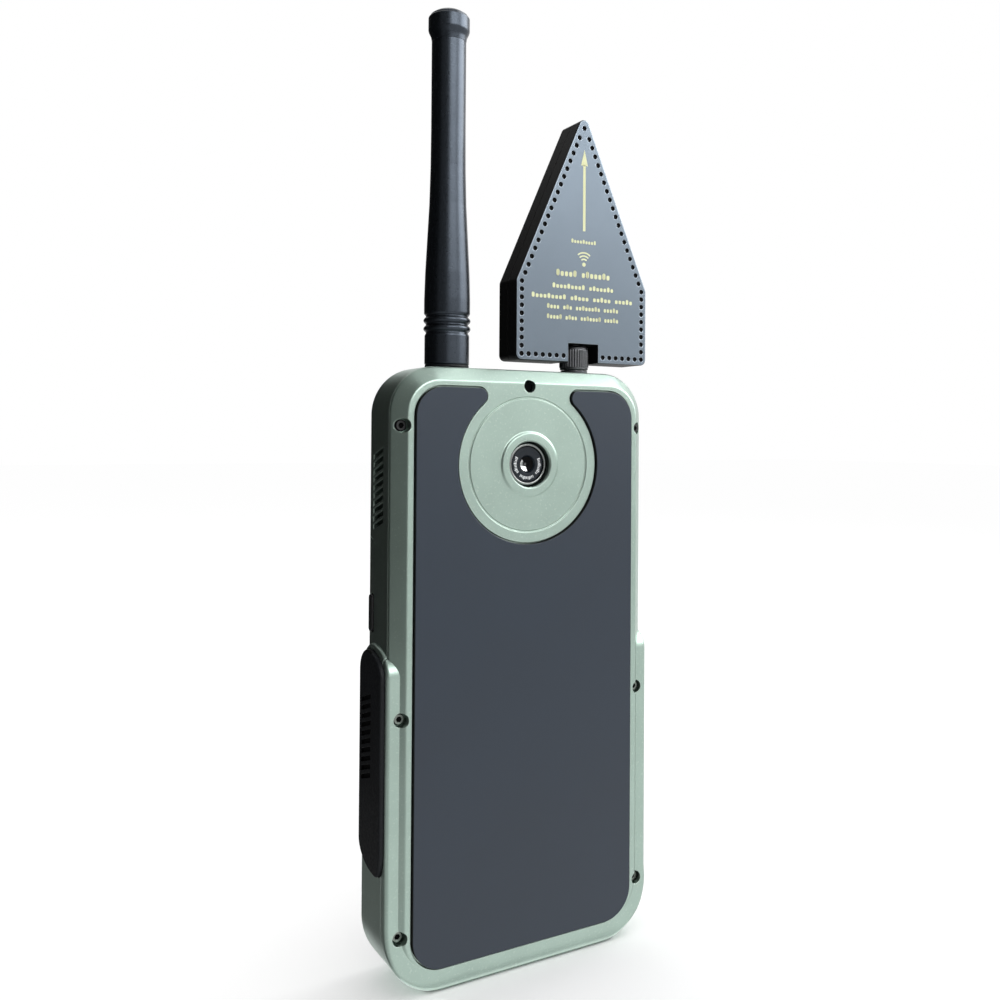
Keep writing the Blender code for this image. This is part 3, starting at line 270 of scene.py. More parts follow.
# Printing on the directional antenna: an arrow, signal arcs and rows of plain bars. Each row
# has its height on the antenna, the bars' height and pitch (in mm) and the bars in each group.
ARROW_TIP = 265.6 * MM
ARROW_BARB = 260.2 * MM
ARROW_HALF_WIDTH = 1.35 * MM
SHAFT_HALF_WIDTH = 0.5 * MM
SHAFT_Z = (238.0 * MM, 260.4 * MM)
SIGNAL_Z = 226.9 * MM
SIGNAL_RADII = (1.6 * MM, 2.7 * MM, 3.8 * MM)
SIGNAL_WIDTH = 0.5 * MM
SIGNAL_HALF_ANGLE = 40
SIGNAL_DOT_Z = 226.7 * MM
SIGNAL_DOT_RADIUS = 0.7 * MM
PRINT_ROWS = ((234.4, 1.4, 1.12, (9,)), (223.3, 2.3, 1.67, (5, 7)),
              (218.9, 1.7, 1.45, (9, 7)), (215.2, 1.7, 1.5, (9, 5, 5, 5)),
              (211.9, 1.7, 1.25, (4, 3, 8, 5)), (208.5, 1.7, 1.2, (5, 4, 7, 5)))
BAR_FILL = 0.72
LOW_BAR = 0.72
PRINT_LIFT = 0.03 * MM

FINE_ARC = 4.0
ROUND_SIDES = 96


# ---- outlines

def ellipse_arc(centre, radius_u, radius_v, start, end, step=FINE_ARC):
    count = max(2, math.ceil(abs(end - start) / step))
    points = []
    for index in range(count + 1):
        angle = math.radians(start + (end - start) * index / count)
        points.append((centre[0] + radius_u * math.cos(angle),
                       centre[1] + radius_v * math.sin(angle)))
    return points


def arc(centre, radius, start, end, step=FINE_ARC):
    return ellipse_arc(centre, radius, radius, start, end, step)


def mirrored(half, middle=()):
    return half + list(middle) + [(-u, v) for u, v in reversed(half)]


def rounded_outline(half_width, low, high, low_radius, high_radius):
    return mirrored(
        arc((half_width - low_radius, low + low_radius), low_radius, -90, 0)
        + arc((half_width - high_radius, high - high_radius), high_radius, 0, 90))


def box_outline(low, high, radius, grow=0.0):
    (u0, v0), (u1, v1) = low, high
    around = radius + grow
    return (arc((u1 - radius, v0 + radius), around, -90, 0, 15)
            + arc((u1 - radius, v1 - radius), around, 0, 90, 15)
            + arc((u0 + radius, v1 - radius), around, 90, 180, 15)
            + arc((u0 + radius, v0 + radius), around, 180, 270, 15))


def screen_outline(half_width, low, radius):
    return rounded_outline(half_width, low, BODY_HEIGHT - low, radius, radius)


def slab_outline(inset):
    return rounded_outline(HALF_WIDTH - inset, SLAB_LOW + inset, BODY_HEIGHT - inset,
                           BASE_RADIUS - inset, TOP_RADIUS - inset)


def panel_outline(inset):
    """Panel edge: two lobes at the top pass round the camera boss and its neck."""
    width = PANEL_HALF_WIDTH - inset
    low_centre = (PANEL_HALF_WIDTH - PANEL_LOW_RADIUS, PANEL_LOW + PANEL_LOW_RADIUS)
    high_centre = (PANEL_HALF_WIDTH - PANEL_HIGH_RADIUS, PANEL_HIGH - PANEL_HIGH_RADIUS)
    lobe_z = PANEL_HIGH - LOBE_RADIUS
    lobe_x = math.sqrt((BOSS_RADIUS + LOBE_RADIUS) ** 2 - (lobe_z - CAMERA_Z) ** 2)
    touch = math.degrees(math.atan2(lobe_z - CAMERA_Z, lobe_x))
    right = (arc(low_centre, width - low_centre[0], -90, 0)
             + arc(high_centre, width - high_centre[0], 0, 90)
             + arc((lobe_x, lobe_z), LOBE_RADIUS - inset, 90, 180 + touch, 8)
             + arc((0.0, CAMERA_Z), BOSS_RADIUS + inset, touch, -90, 2)[1:-1])
    return mirrored(right)


def slot_outlines(top, pitch, span, grow=0.0):
    """Evenly pitched parallelograms that fall from the rear to the front."""
    outlines = []
    for index in range(SLOT_COUNT):
        high = top - index * pitch
        outlines.append([(span[0] - grow, high + grow),
                         (span[0] - grow, high - SLOT_HEIGHT - grow),
                         (span[1] + grow, high - SLOT_HEIGHT - SLOT_DROP - grow),
                         (span[1] + grow, high - SLOT_DROP + grow)])
    return outlines


def grip_side_outline():
    crest_z = ARCH_TOP - ARCH_HEIGHT
    front_arch = ellipse_arc((ARCH_CREST_Y, crest_z), SHOULDER_Y - ARCH_CREST_Y,
                             ARCH_HEIGHT, 0, 90)
    rear_arch = ellipse_arc((ARCH_CREST_Y, crest_z), SHOULDER_Y + ARCH_CREST_Y,
                            ARCH_HEIGHT, 90, 180)
    return ([(GRIP_REAR_Y, 0.0), (SHOULDER_Y, 0.0)] + front_arch + rear_arch[1:]
            + [(-SHOULDER_Y, RAMP_HIGH), (GRIP_REAR_Y, RAMP_LOW)])


def pad_outline(grow):
    depth = PAD_HALF_DEPTH + grow
    crest = (PAD_CREST[0], PAD_TOP - PAD_CREST[1])
    toe = (PAD_TOE[0], PAD_LOW + PAD_TOE[1])
    rise = PAD_CREST[1] + grow
    fall = PAD_TOE[1] + grow
    return (ellipse_arc(toe, depth - toe[0], fall, -90, 0)
            + ellipse_arc(crest, depth - crest[0], rise, 0, 90)
            + ellipse_arc(crest, depth + crest[0], rise, 90, 180)[1:]
            + ellipse_arc(toe, depth + toe[0], fall, 180, 270)[:-1])


def log_outline(inset):
    """Arrow-shaped outline of the directional antenna, notched at the bottom for its nut."""
    slope = math.degrees(math.atan2(LOG_APEX - LOG_SHOULDER, LOG_HALF_WIDTH))
    width = LOG_HALF_WIDTH - inset
    low = LOG_LOW + inset
    radius = LOG_CORNER - min(inset, LOG_CORNER / 2)
    apex = LOG_APEX - inset / math.cos(math.radians(slope))
    shoulder = apex - width * math.tan(math.radians(slope))
    turn = 90 - slope
    apex_z = apex - radius / math.cos(math.radians(slope))
    bend = radius * math.tan(math.radians(turn) / 2)
    right = [(NOTCH_HALF_WIDTH + inset, NOTCH_TOP + inset), (NOTCH_HALF_WIDTH + inset, low)]
    right += arc((width - radius, low + radius), radius, -90, 0, 10)
    right += arc((width - radius, shoulder - bend), radius, 0, turn, 8)
    right += arc((0.0, apex_z), radius, turn, 90, 8)[:-1]
    return [(u + ANTENNA_X, v) for u, v in mirrored(right, [(0.0, apex_z + radius)])]


# ---- solids

def softened(points, radius, steps=4, closed=False):
    """A polyline with each corner replaced by a small curve."""
    count = len(points)
    result = []
    for index, point in enumerate(points):
        if not closed and index in (0, count - 1):
            result.append(point)
            continue
        here = Vector(point)
        before = Vector(points[index - 1]) - here
        after = Vector(points[(index + 1) % count]) - here
        reach = min(radius, 0.45 * before.length, 0.45 * after.length)
        first = here + before.normalized() * reach
        last = here + after.normalized() * reach
        for step in range(steps + 1):
            t = step / steps
            mixed = first * (1 - t) ** 2 + here * (2 * t * (1 - t)) + last * t ** 2
            result.append((mixed.x, mixed.y))
    return result


PLACES = {
    "x": lambda u, v, h: (h, u, v),
    "y": lambda u, v, h: (u, h, v),
    "z": lambda u, v, h: (u, v, h),
}


def mesh_object(name, work):
    bmesh.ops.recalc_face_normals(work, faces=work.faces)
    mesh = bpy.data.meshes.new(name)
    work.to_mesh(mesh)
    work.free()
    solid = bpy.data.objects.new(name, mesh)
    bpy.context.scene.collection.objects.link(solid)
    return solid


def add_loft(work, rings, axis):
    """Closed solid through matching outlines; rings are (height, outline) pairs."""
    rows = [[work.verts.new(PLACES[axis](u, v, height)) for u, v in outline]
            for height, outline in rings]
    for low, high in zip(rows, rows[1:]):
        for index in range(len(low)):
            after = (index + 1) % len(low)
            work.faces.new((low[index], low[after], high[after], high[index]))
    work.faces.new(rows[0])
    work.faces.new(rows[-1])


def loft(name, rings, axis):
    work = bmesh.new()
    add_loft(work, rings, axis)
    return mesh_object(name, work)


def prisms(name, outlines, axis, start, end):
    """Straight solids of several outlines, in one object."""
    work = bmesh.new()
    for outline in outlines:
        add_loft(work, [(start, outline), (end, outline)], axis)
    return mesh_object(name, work)


def rounded_rings(outline_of, start, end, edge):
    """Rings of a slab with a rounded rim at its start; outline_of gives the outline for an
    inset."""
    steps = 4
    rings = []
    for step in range(steps + 1):
        angle = math.pi / 2 * step / steps
        inset, depth = edge * (1 - math.sin(angle)), edge * (1 - math.cos(angle))
        rings.append((start + math.copysign(depth, end - start), outline_of(inset)))
    return rings + [(end, outline_of(0.0))]


def turned(name, profile, axis, centre, soft=0.0, closed=False, sides=ROUND_SIDES,
           steps=3):
    """Solid of revolution. Heights run up for axis "z" and rearwards for axis "y"."""
    if soft:
        profile = softened(profile, soft, steps, closed)
    work = bmesh.new()
    rows = []
    for radius, height in profile:
        around = 1 if radius < 1e-7 else sides
        row = []
        for index in range(around):
            angle = 2 * math.pi * index / sides
            u, v = radius * math.cos(angle), radius * math.sin(angle)
            place = (u, v, height) if axis == "z" else (u, -height, v)
            row.append(work.verts.new(Vector(place) + Vector(centre)))
        rows.append(row)
    pairs = list(zip(rows, rows[1:]))
    if closed:
        pairs.append((rows[-1], rows[0]))
    for first, second in pairs:
        for index in range(sides):
            after = (index + 1) % sides
            corners = [first[index % len(first)], first[after % len(first)],
                       second[after % len(second)], second[index % len(second)]]
            unique = list(dict.fromkeys(corners))
            if len(unique) > 2:
                work.faces.new(unique)
    return mesh_object(name, work)


def block(name, low, high):
    return prisms(name, [[(low[0], low[1]), (high[0], low[1]), (high[0], high[1]),
                          (low[0], high[1])]], "z", low[2], high[2])


def baked(target):
    """The target with its modifiers turned into mesh."""
    depsgraph = bpy.context.evaluated_depsgraph_get()
    mesh = bpy.data.meshes.new_from_object(target.evaluated_get(depsgraph))
    mesh.name = target.name
    target.modifiers.clear()
    target.data = mesh
    return target


def boolean(target, operation, tools):
    for tool in tools:
        step = target.modifiers.new(tool.name, "BOOLEAN")
        step.operation = operation
        step.object = tool
        step.solver = "MANIFOLD"
    baked(target)
    for tool in tools:
        bpy.data.objects.remove(tool, do_unlink=True)
    return target


def cut(target, *tools):
    return boolean(target, "DIFFERENCE", tools)


def join(target, *tools):
    return boolean(target, "UNION", tools)


def paint(piece, look, chosen):
    """A second look for the faces that chosen picks."""
    piece.data.materials.append(look)
    for polygon in piece.data.polygons:
        if chosen(polygon):
            polygon.material_index = 1


def smooth(piece, angle=35):
    """Smooth shading with creases, and flat faces that stay flat."""
    piece.data.shade_smooth()
    piece.data.set_sharp_from_angle(angle=math.radians(angle))
    even = piece.modifiers.new("even_normals", "WEIGHTED_NORMAL")
    even.keep_sharp = True
    even.weight = 80
    return baked(piece)


# ---- finishes

def link(tree, source, target):
    tree.links.new(source, target)


def fill(node, **values):
    """Set a node's inputs; an underscore stands for a space in an input's name."""
    for name, value in values.items():
        node.inputs[name.replace("_", " ")].default_value = value
    return node


def add(tree, kind, **values):
    return fill(tree.nodes.new("ShaderNode" + kind), **values)


def noise(tree, coordinates, scale, detail, roughness=0.5):
    node = add(tree, "TexNoise", Scale=scale, Detail=detail, Roughness=roughness)
    link(tree, coordinates, node.inputs["Vector"])
    return node.outputs["Fac"]


def spread(tree, source, low, high, start=0.3, end=0.7):
    """The source's range from start to end, stretched to run from low to high."""
    node = add(tree, "MapRange", From_Min=start, From_Max=end, To_Min=low, To_Max=high)
    link(tree, source, node.inputs["Value"])
    return node.outputs["Result"]


def mix_colour(tree, factor, first, second):
    node = add(tree, "Mix")
    node.data_type = "RGBA"
    for socket, value in (("A", first), ("B", second)):
        target = [i for i in node.inputs if i.name == socket and i.type == "RGBA"][0]
        if isinstance(value, tuple):
            target.default_value = (*value, 1.0)
        else:
            link(tree, value, target)
    link(tree, factor, node.inputs["Factor"])
    return [o for o in node.outputs if o.type == "RGBA"][0]


def rounded_normal(tree, radius):
    bevel = add(tree, "Bevel", Radius=radius)
    bevel.samples = 4
    return bevel.outputs["Normal"]


def edge_highlight_mask(tree, radius):
    """Where the painted edge highlight goes: 1 on convex and concave edges, 0 on flat faces."""
    dot = add(tree, "VectorMath")
    dot.operation = "DOT_PRODUCT"
    link(tree, rounded_normal(tree, radius), dot.inputs[0])
    link(tree, add(tree, "NewGeometry").outputs["Normal"], dot.inputs[1])
    return spread(tree, dot.outputs["Value"], 1.0, 0.0, 0.9, 0.995)


def finish(name, colour, roughness, metallic=0.0, mottle=0.06, cloud=45.0, grain=1800.0,
           depth=0.012 * MM, rough=0.05, stretch=(1, 1, 1), soft=0.25 * MM, edge_highlight=None,
           speckle=None, coat=0.0, ior=1.5):
    """A procedural surface: clouded colour, fine grain, uneven gloss, rounded edges and, if
    asked for, a painted highlight on the edges.
    """
    look = bpy.data.materials.new(name)
    look.use_nodes = True
    tree = look.node_tree
    shader = fill(tree.nodes["Principled BSDF"], Metallic=metallic, IOR=ior,
                  Coat_Weight=coat, Coat_Roughness=0.08)
    mapping = add(tree, "Mapping", Scale=stretch)
    link(tree, add(tree, "TexCoord").outputs["Object"], mapping.inputs["Vector"])
    where = mapping.outputs["Vector"]
    clouds = noise(tree, where, cloud, 5, 0.6)
    grains = noise(tree, where, grain, 3, 0.55)
    dark = tuple(c * (1 - mottle) for c in colour)
    light = tuple(min(1.0, c * (1 + mottle)) for c in colour)
    tone = mix_colour(tree, spread(tree, clouds, 0.0, 1.0), dark, light)
    if speckle:
        specks = noise(tree, where, speckle[1], 2)
        tone = mix_colour(tree, spread(tree, specks, 0.0, 1.0, 0.6, 0.75), tone, speckle[0])
    # Painted highlight: a lighter colour along the edges.
    if edge_highlight:
        tone = mix_colour(tree, edge_highlight_mask(tree, 0.5 * MM), tone, edge_highlight)
    link(tree, tone, shader.inputs["Base Color"])
    link(tree, spread(tree, grains, roughness - rough, roughness + rough),
         shader.inputs["Roughness"])
    bump = add(tree, "Bump", Strength=1.0, Distance=depth)
    link(tree, grains, bump.inputs["Height"])
    if soft:
        link(tree, rounded_normal(tree, soft), bump.inputs["Normal"])
    link(tree, bump.outputs["Normal"], shader.inputs["Normal"])
    return look


# The sage paint gets a painted highlight on its edges.
SAGE = finish("sage_paint", (0.305, 0.39, 0.345), 0.36, metallic=0.985, mottle=0.05,
              cloud=70, grain=2600, depth=0.02 * MM, rough=0.06, edge_highlight=(0.41, 0.5, 0.45),
              speckle=((0.37, 0.46, 0.41), 1500))
SLATE = finish("slate_panel", (0.006, 0.0145, 0.0275), 0.42, mottle=0.07, cloud=30,
               grain=2400, rough=0.06, soft=0.1 * MM)
PANEL_EDGE = finish("panel_edge", (0.002, 0.0022, 0.003), 0.6, mottle=0.1, soft=0.0)
RUBBER = finish("grip_rubber", (0.002, 0.003, 0.0045), 0.55, mottle=0.2, cloud=90, grain=1500,
                depth=0.04 * MM, rough=0.1, ior=1.33)
SHEATH = finish("antenna_rubber", (0.043, 0.051, 0.062), 0.31, metallic=0.97, cloud=60,
                grain=1700)
# Near-black painted shade, laid where shade falls: on the tread floors, round the screw heads,
# in the microphone hole and on the lens cone away from its glint.
PAINTED_SHADE = finish("painted_shade_black", (0.001, 0.001, 0.0012), 0.8, mottle=0.1, soft=0.0, ior=1.2)
BLACK = finish("black_plastic", (0.005, 0.005, 0.006), 0.45, mottle=0.1, grain=2000)
ARROW_SIDE = finish("antenna_plastic", (0.0008, 0.0008, 0.001), 0.55, mottle=0.1,
                    grain=2200, depth=0.006 * MM, ior=1.3)
# The antenna face gets a painted highlight on its edges, round the dimples too.
ARROW_FACE = finish("antenna_face", (0.132, 0.162, 0.193), 0.34, metallic=0.8, mottle=0.04,
                    cloud=35, grain=2600, depth=0.008 * MM, edge_highlight=(0.4, 0.45, 0.5))
PRINT = finish("cream_ink", (0.74, 0.75, 0.45), 0.55, mottle=0.05, grain=3500,
               depth=0.004 * MM, soft=0.0)
WHITE_INK = finish("white_ink", (0.75, 0.77, 0.78), 0.5, mottle=0.05, grain=3500,
                   depth=0.004 * MM, soft=0.0)
GLASS = finish("cover_glass", (0.006, 0.006, 0.008), 0.06, mottle=0.2, cloud=15, grain=300,
               depth=0.0005 * MM, rough=0.02, coat=0.6)
DISPLAY = finish("display_area", (0.012, 0.014, 0.02), 0.1, mottle=0.1, cloud=20, grain=300,
                 depth=0.0005 * MM, rough=0.02, coat=0.6, soft=0.0)
LENS = finish("lens_glass", (0.002, 0.0025, 0.004), 0.05, mottle=0.3, cloud=400, grain=900,
              depth=0.0005 * MM, rough=0.02, coat=1.0, ior=1.7)
LENS_FACE = finish("lens_face", (0.003, 0.0065, 0.011), 0.4, mottle=0.1, grain=2500,
                   ior=1.36)
TRIM = finish("lens_trim", (0.2, 0.21, 0.205), 0.3, metallic=1.0, mottle=0.08, grain=2500,
              depth=0.004 * MM)
BRIGHT = finish("bright_steel", (0.62, 0.63, 0.63), 0.22, metallic=1.0, grain=2500,
                depth=0.004 * MM)
# The black steel gets a painted highlight on its edges.
DARK_STEEL = finish("black_steel", (0.06, 0.062, 0.066), 0.34, metallic=0.9, mottle=0.15,
                    cloud=300, grain=3000, depth=0.008 * MM, edge_highlight=(0.16, 0.165, 0.17))
SCREW_STEEL = finish("screw_steel", (0.2, 0.22, 0.2), 0.4, metallic=0.9, mottle=0.15,
                     cloud=300, grain=3000, depth=0.008 * MM, soft=0.1 * MM)
GILT = finish("gilt_brass", (0.78, 0.58, 0.26), 0.25, metallic=1.0, mottle=0.05, cloud=200,
              grain=2500, depth=0.003 * MM)
TIN = finish("tinned_steel", (0.6, 0.61, 0.62), 0.33, metallic=1.0, cloud=120, grain=900,
             depth=0.004 * MM, stretch=(1, 1, 8))
CIRCUIT = finish("circuit_board", (0.015, 0.12, 0.05), 0.4, mottle=0.25, cloud=160,
                 grain=1200, depth=0.02 * MM, speckle=((0.5, 0.42, 0.2), 420))
WRAP = finish("battery_wrap", (0.05, 0.07, 0.12), 0.3, mottle=0.1, cloud=40, grain=500,
              depth=0.02 * MM, coat=0.3)

FINISHES = {
    "sage_paint": SAGE, "slate_panel": SLATE, "grip_rubber": RUBBER,
    "antenna_rubber": SHEATH, "black_plastic": BLACK, "antenna_plastic": ARROW_SIDE,
    "cover_glass": GLASS, "lens_glass": LENS, "bright_steel": BRIGHT,
    "black_steel": DARK_STEEL, "gilt_brass": GILT, "circuit_board": CIRCUIT,
    "tinned_steel": TIN, "battery_wrap": WRAP,
}
# The microphone hole gets the near-black painted shade.
OTHER_LOOKS = {"directional_antenna_plug": DARK_STEEL, "rear_microphone": PAINTED_SHADE}


def place(piece, look, body, slot, *nodes):
    piece.data.materials.clear()
    piece.data.materials.append(look)
    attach(piece, body)
    if nodes:
        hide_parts(*nodes)


# ---- metal body

def outer_form(name):
    """Outside of the body: a chamfered slab with the wider grip section joined on."""
    profile = softened([(REAR_Y, CHAMFER + MM), (REAR_Y, CHAMFER), (REAR_Y + CHAMFER, 0.0),
                        (FRONT_Y - CHAMFER, 0.0), (FRONT_Y, CHAMFER),
                        (FRONT_Y, CHAMFER + MM)], SOFT_EDGE)
    slab = loft(name, [(y, slab_outline(inset)) for y, inset in profile], "y")
    front_view = rounded_outline(GRIP_HALF_WIDTH, 0.0, ARCH_TOP + REACH, BASE_RADIUS,
                                 FORM_ROUNDING)
    grip = prisms(name + "_grip", [front_view], "y", REAR_Y - REACH, SHOULDER_Y + REACH)
    side = prisms(name + "_side", [grip_side_outline()], "x", -GRIP_HALF_WIDTH - REACH,
                  GRIP_HALF_WIDTH + REACH)
    boolean(grip, "INTERSECT", [side])
    edges = grip.modifiers.new("edges", "BEVEL")
    edges.width = FORM_ROUNDING
    edges.segments = 5
    edges.limit_method = "ANGLE"
    edges.angle_limit = math.radians(50)
    baked(grip)
    return join(slab, grip)


def screw_places():
    return [(side * SCREW_X, z) for z in SCREW_HEIGHTS for side in (-1, 1)]


def pad_recesses(name):
    reach = GRIP_HALF_WIDTH + REACH
    outline = pad_outline(GAP)
    return prisms(name, [outline], "x", -reach, GAP - LEFT_PAD[0]), prisms(
        name + "_right", [outline], "x", RIGHT_PAD[0] - GAP, reach)


def bore(name, axis, radius, start, end, centre, mouth=0.0, flare=0.0, sides=48):
    """A drill from start (inside) to end (outside), with a countersunk mouth."""
    profile = [(0.0, start), (radius, start)]
    if flare:
        profile += [(radius, mouth - flare), (radius + flare, mouth),
                    (radius + flare, end)]
    else:
        profile.append((radius, end))
    profile.append((0.0, end))
    return turned(name, profile, axis, centre, sides=sides)


def flared(name, axis, outline_of, flare, heights):
    """An opening whose last two heights are wider by the flare."""
    return loft(name, [(height, outline_of(grow))
                       for height, grow in zip(heights, (0.0, 0.0, flare, flare))], axis)


def screw_bores(name, radius, start, end, *mouth):
    return [bore(f"{name}_{i}", "y", radius, start, end, (x, 0.0, z), *mouth)
            for i, (x, z) in enumerate(screw_places(), 1)]


def build_cover():
    cover = outer_form("cover_shell")
    big = BODY_HEIGHT
    rear = -REAR_Y
    centre = (0.0, 0.0, CAMERA_Z)
    pocket = flared("pocket", "y", panel_outline, -0.14 * MM,
                    (POCKET_Y, REAR_Y + 0.12 * MM, REAR_Y - 0.02 * MM, REAR_Y - REACH))
    hollow = prisms("hollow", [rounded_outline(*REAR_HOLLOW)], "y", POCKET_Y + 1.5 * MM,
                    SEAM_Y + REACH)
    lip = turned("lip", [
        (CAMERA_BORE - MM, rear + LIP_RISE), (LIP_RADIUS, rear + LIP_RISE),
        *((LIP_RADIUS + out, rear + rise) for out, rise in LIP_FLANK),
        (LIP_RADIUS + LIP_FLANK[-1][0], rear - MM), (CAMERA_BORE - MM, rear - MM)],
        "y", centre, closed=True, sides=128)
    groove_right = [(0.6 * MM, GROOVE_DEPTH), (GROOVE_HALF_WIDTH, -0.02 * MM),
                    (0.08 * MM, -GROOVE_DEPTH)]
    groove = turned("groove", [
        (GROOVE_RADIUS - groove_right[0][0], rear + groove_right[0][1]),
        *((GROOVE_RADIUS + out, rear + rise) for out, rise in groove_right),
        *((GROOVE_RADIUS - out, rear + rise) for out, rise in groove_right[:0:-1])],
        "y", centre, closed=True, sides=160)
    cut(cover, block("split", (-big, SEAM_Y, -big), (big, big, 2 * big)), pocket, hollow)
    join(cover, lip)
    cut(cover, groove,
        bore("camera_bore", "y", CAMERA_BORE, -SEAM_Y - REACH, rear + REACH, centre,
             rear + LIP_RISE, 0.45 * MM, 96),
        bore("pinhole", "y", PINHOLE_RADIUS, -SEAM_Y - REACH, rear + REACH,
             (0.0, 0.0, PINHOLE_Z)))
    cut(cover, *screw_bores("pocket", SCREW_POCKET, -SCREW_SEAT_Y, rear + REACH,
                            rear + 0.05 * MM, 0.15 * MM),
        *screw_bores("passage", SCREW_SHANK + GAP, -SEAM_Y - REACH, rear))
    cut(cover, *pad_recesses("cover_recess"))
    place(smooth(cover), SAGE, "instrument", "sage_paint", "rear_cover")


def slots(name, side):
    """Vent slots through one side wall, with their mouths chamfered."""
    wall, inner, chamfer = HALF_WIDTH, HALF_WIDTH - WALL - REACH, 0.22 * MM
    work = bmesh.new()
    narrow = slot_outlines(VENT_TOP, VENT_PITCH, VENT_Y)
    wide = slot_outlines(VENT_TOP, VENT_PITCH, VENT_Y, chamfer)
    for small, large in zip(narrow, wide):
        add_loft(work, [(side * inner, small), (side * (wall - chamfer), small),
                        (side * (wall + 0.02 * MM), large),
                        (side * (wall + 0.4 * MM), large)], "x")
    return mesh_object(name, work)


def build_frame():
    body = outer_form("frame_shell")
    big = BODY_HEIGHT
    outer, inner = HALF_WIDTH + REACH, HALF_WIDTH - WALL - REACH
    cavity = prisms("cavity", [rounded_outline(HALF_WIDTH - WALL, FLOOR_WALL,
                                               BODY_HEIGHT - FLOOR_WALL, BASE_RADIUS - WALL,
                                               TOP_RADIUS - WALL)],
                    "y", SEAM_Y - REACH, FRONT_WALL_Y)
    cut(cavity, *screw_bores("post", POST_RADIUS, 2 * SCREW_TIP_Y, -SEAM_Y + 2 * REACH))
    seat = flared("seat", "y", lambda grow: screen_outline(
        GLASS_HALF_WIDTH + GAP + grow, GLASS_LOW - GAP - grow, GLASS_RADIUS + GAP + grow),
        0.32 * MM, (GLASS_Y[0] - GAP, FRONT_Y - 0.3 * MM, FRONT_Y + 0.02 * MM, FRONT_Y + REACH))
    window = prisms("window", [screen_outline(*WINDOW)], "y", FRONT_WALL_Y - REACH, FRONT_Y)
    cut(body, block("split", (-big, -big, -big), (big, SEAM_Y + GAP, 2 * big)), cavity, seat,
        window)
    cut(body, *screw_bores("thread", SCREW_SHANK + GAP, -SCREW_TIP_Y - GAP, -SEAM_Y + REACH))
    low, high = (BUTTON_Y[0] - GAP, BUTTON_Z[0] - GAP), (BUTTON_Y[1] + GAP, BUTTON_Z[1] + GAP)
    button_slot = flared("button_slot", "x", lambda grow: box_outline(
        low, high, BUTTON_SLOT_RADIUS, grow), 0.25 * MM,
        (-inner, -HALF_WIDTH + 0.25 * MM, -HALF_WIDTH - 0.02 * MM, -outer))
    mark_low, mark_high = MARK_Z - 0.9 * MM, MARK_Z + 0.2 * MM
    mark = prisms("mark", [[(MARK_Y[0], mark_low), (MARK_Y[0], mark_low - MARK_HEIGHT),
                            (MARK_Y[1], mark_high), (MARK_Y[1], mark_high + MARK_HEIGHT)]],
                  "x", -outer, -HALF_WIDTH + 0.4 * MM)
    cut(body, slots("vents_left", -1), slots("vents_right", 1), button_slot, mark)
    port = flared("port", "z", lambda grow: box_outline(
        (-PORT_HALF[0], -PORT_HALF[1]), PORT_HALF, PORT_RADIUS, grow), 0.3 * MM,
        (FLOOR_WALL + MM, 0.3 * MM, -0.02 * MM, -REACH))
    flare = SOUND_RADIUS + 0.2 * MM
    sound = [turned(f"sound_{i}", [
        (0.0, FLOOR_WALL + MM), (SOUND_RADIUS, FLOOR_WALL + MM), (SOUND_RADIUS, 0.2 * MM),
        (flare, -0.01 * MM), (flare, -REACH), (0.0, -REACH)], "z",
        (SOUND_X + i * SOUND_PITCH, SOUND_Y, 0.0), sides=24) for i in range(SOUND_HOLES)]
    jacks = [bore(f"jack_hole_{i}", "z", JACK_RADIUS + GAP, BODY_HEIGHT - FLOOR_WALL - REACH,
                  BODY_HEIGHT + REACH, (x, 0.0, 0.0))
             for i, x in enumerate((-ANTENNA_X, ANTENNA_X))]
    cut(body, port, *sound, *jacks)
    cut(body, *pad_recesses("frame_recess"))
    place(smooth(body), SAGE, "instrument", "sage_paint", "main_frame")


def build_panel():
    panel = loft("slate_panel", rounded_rings(
        lambda inset: panel_outline(PANEL_JOINT + inset), PANEL_FACE_Y, PANEL_BACK_Y,
        0.15 * MM), "y")
    place(smooth(panel), PANEL_EDGE, "instrument", "slate_panel", "rear_panel")
    paint(panel, SLATE, lambda polygon: polygon.normal.y < -0.6)


def build_pads():
    treads = slot_outlines(TREAD_TOP, TREAD_PITCH, TREAD_Y)
    for side, sign, (inner, outer) in (("left", -1, LEFT_PAD), ("right", 1, RIGHT_PAD)):
        pad = loft(f"rubber_grip_{side}", rounded_rings(
            lambda inset: pad_outline(-inset), sign * outer, sign * inner, 0.7 * MM), "x")
        tools = prisms(f"treads_{side}", treads, "x", sign * (outer - TREAD_DEPTH),
                       sign * (outer + REACH))
        place(smooth(cut(pad, tools)), RUBBER, "instrument", "grip_rubber",
              f"grip_pad_{side}")

        # Painted shade: the sunken faces of the treads get the near-black look.
        def in_tread_shade(polygon):
            x, y, z = polygon.center
            sunk = outer - TREAD_DEPTH - 0.1 * MM < abs(x) < outer - 0.05 * MM
            return (sunk and TREAD_Y[0] - 0.1 * MM < y < TREAD_Y[1] + 0.1 * MM
                    and z > TREAD_FLOOR_Z)

        paint(pad, PAINTED_SHADE, in_tread_shade)


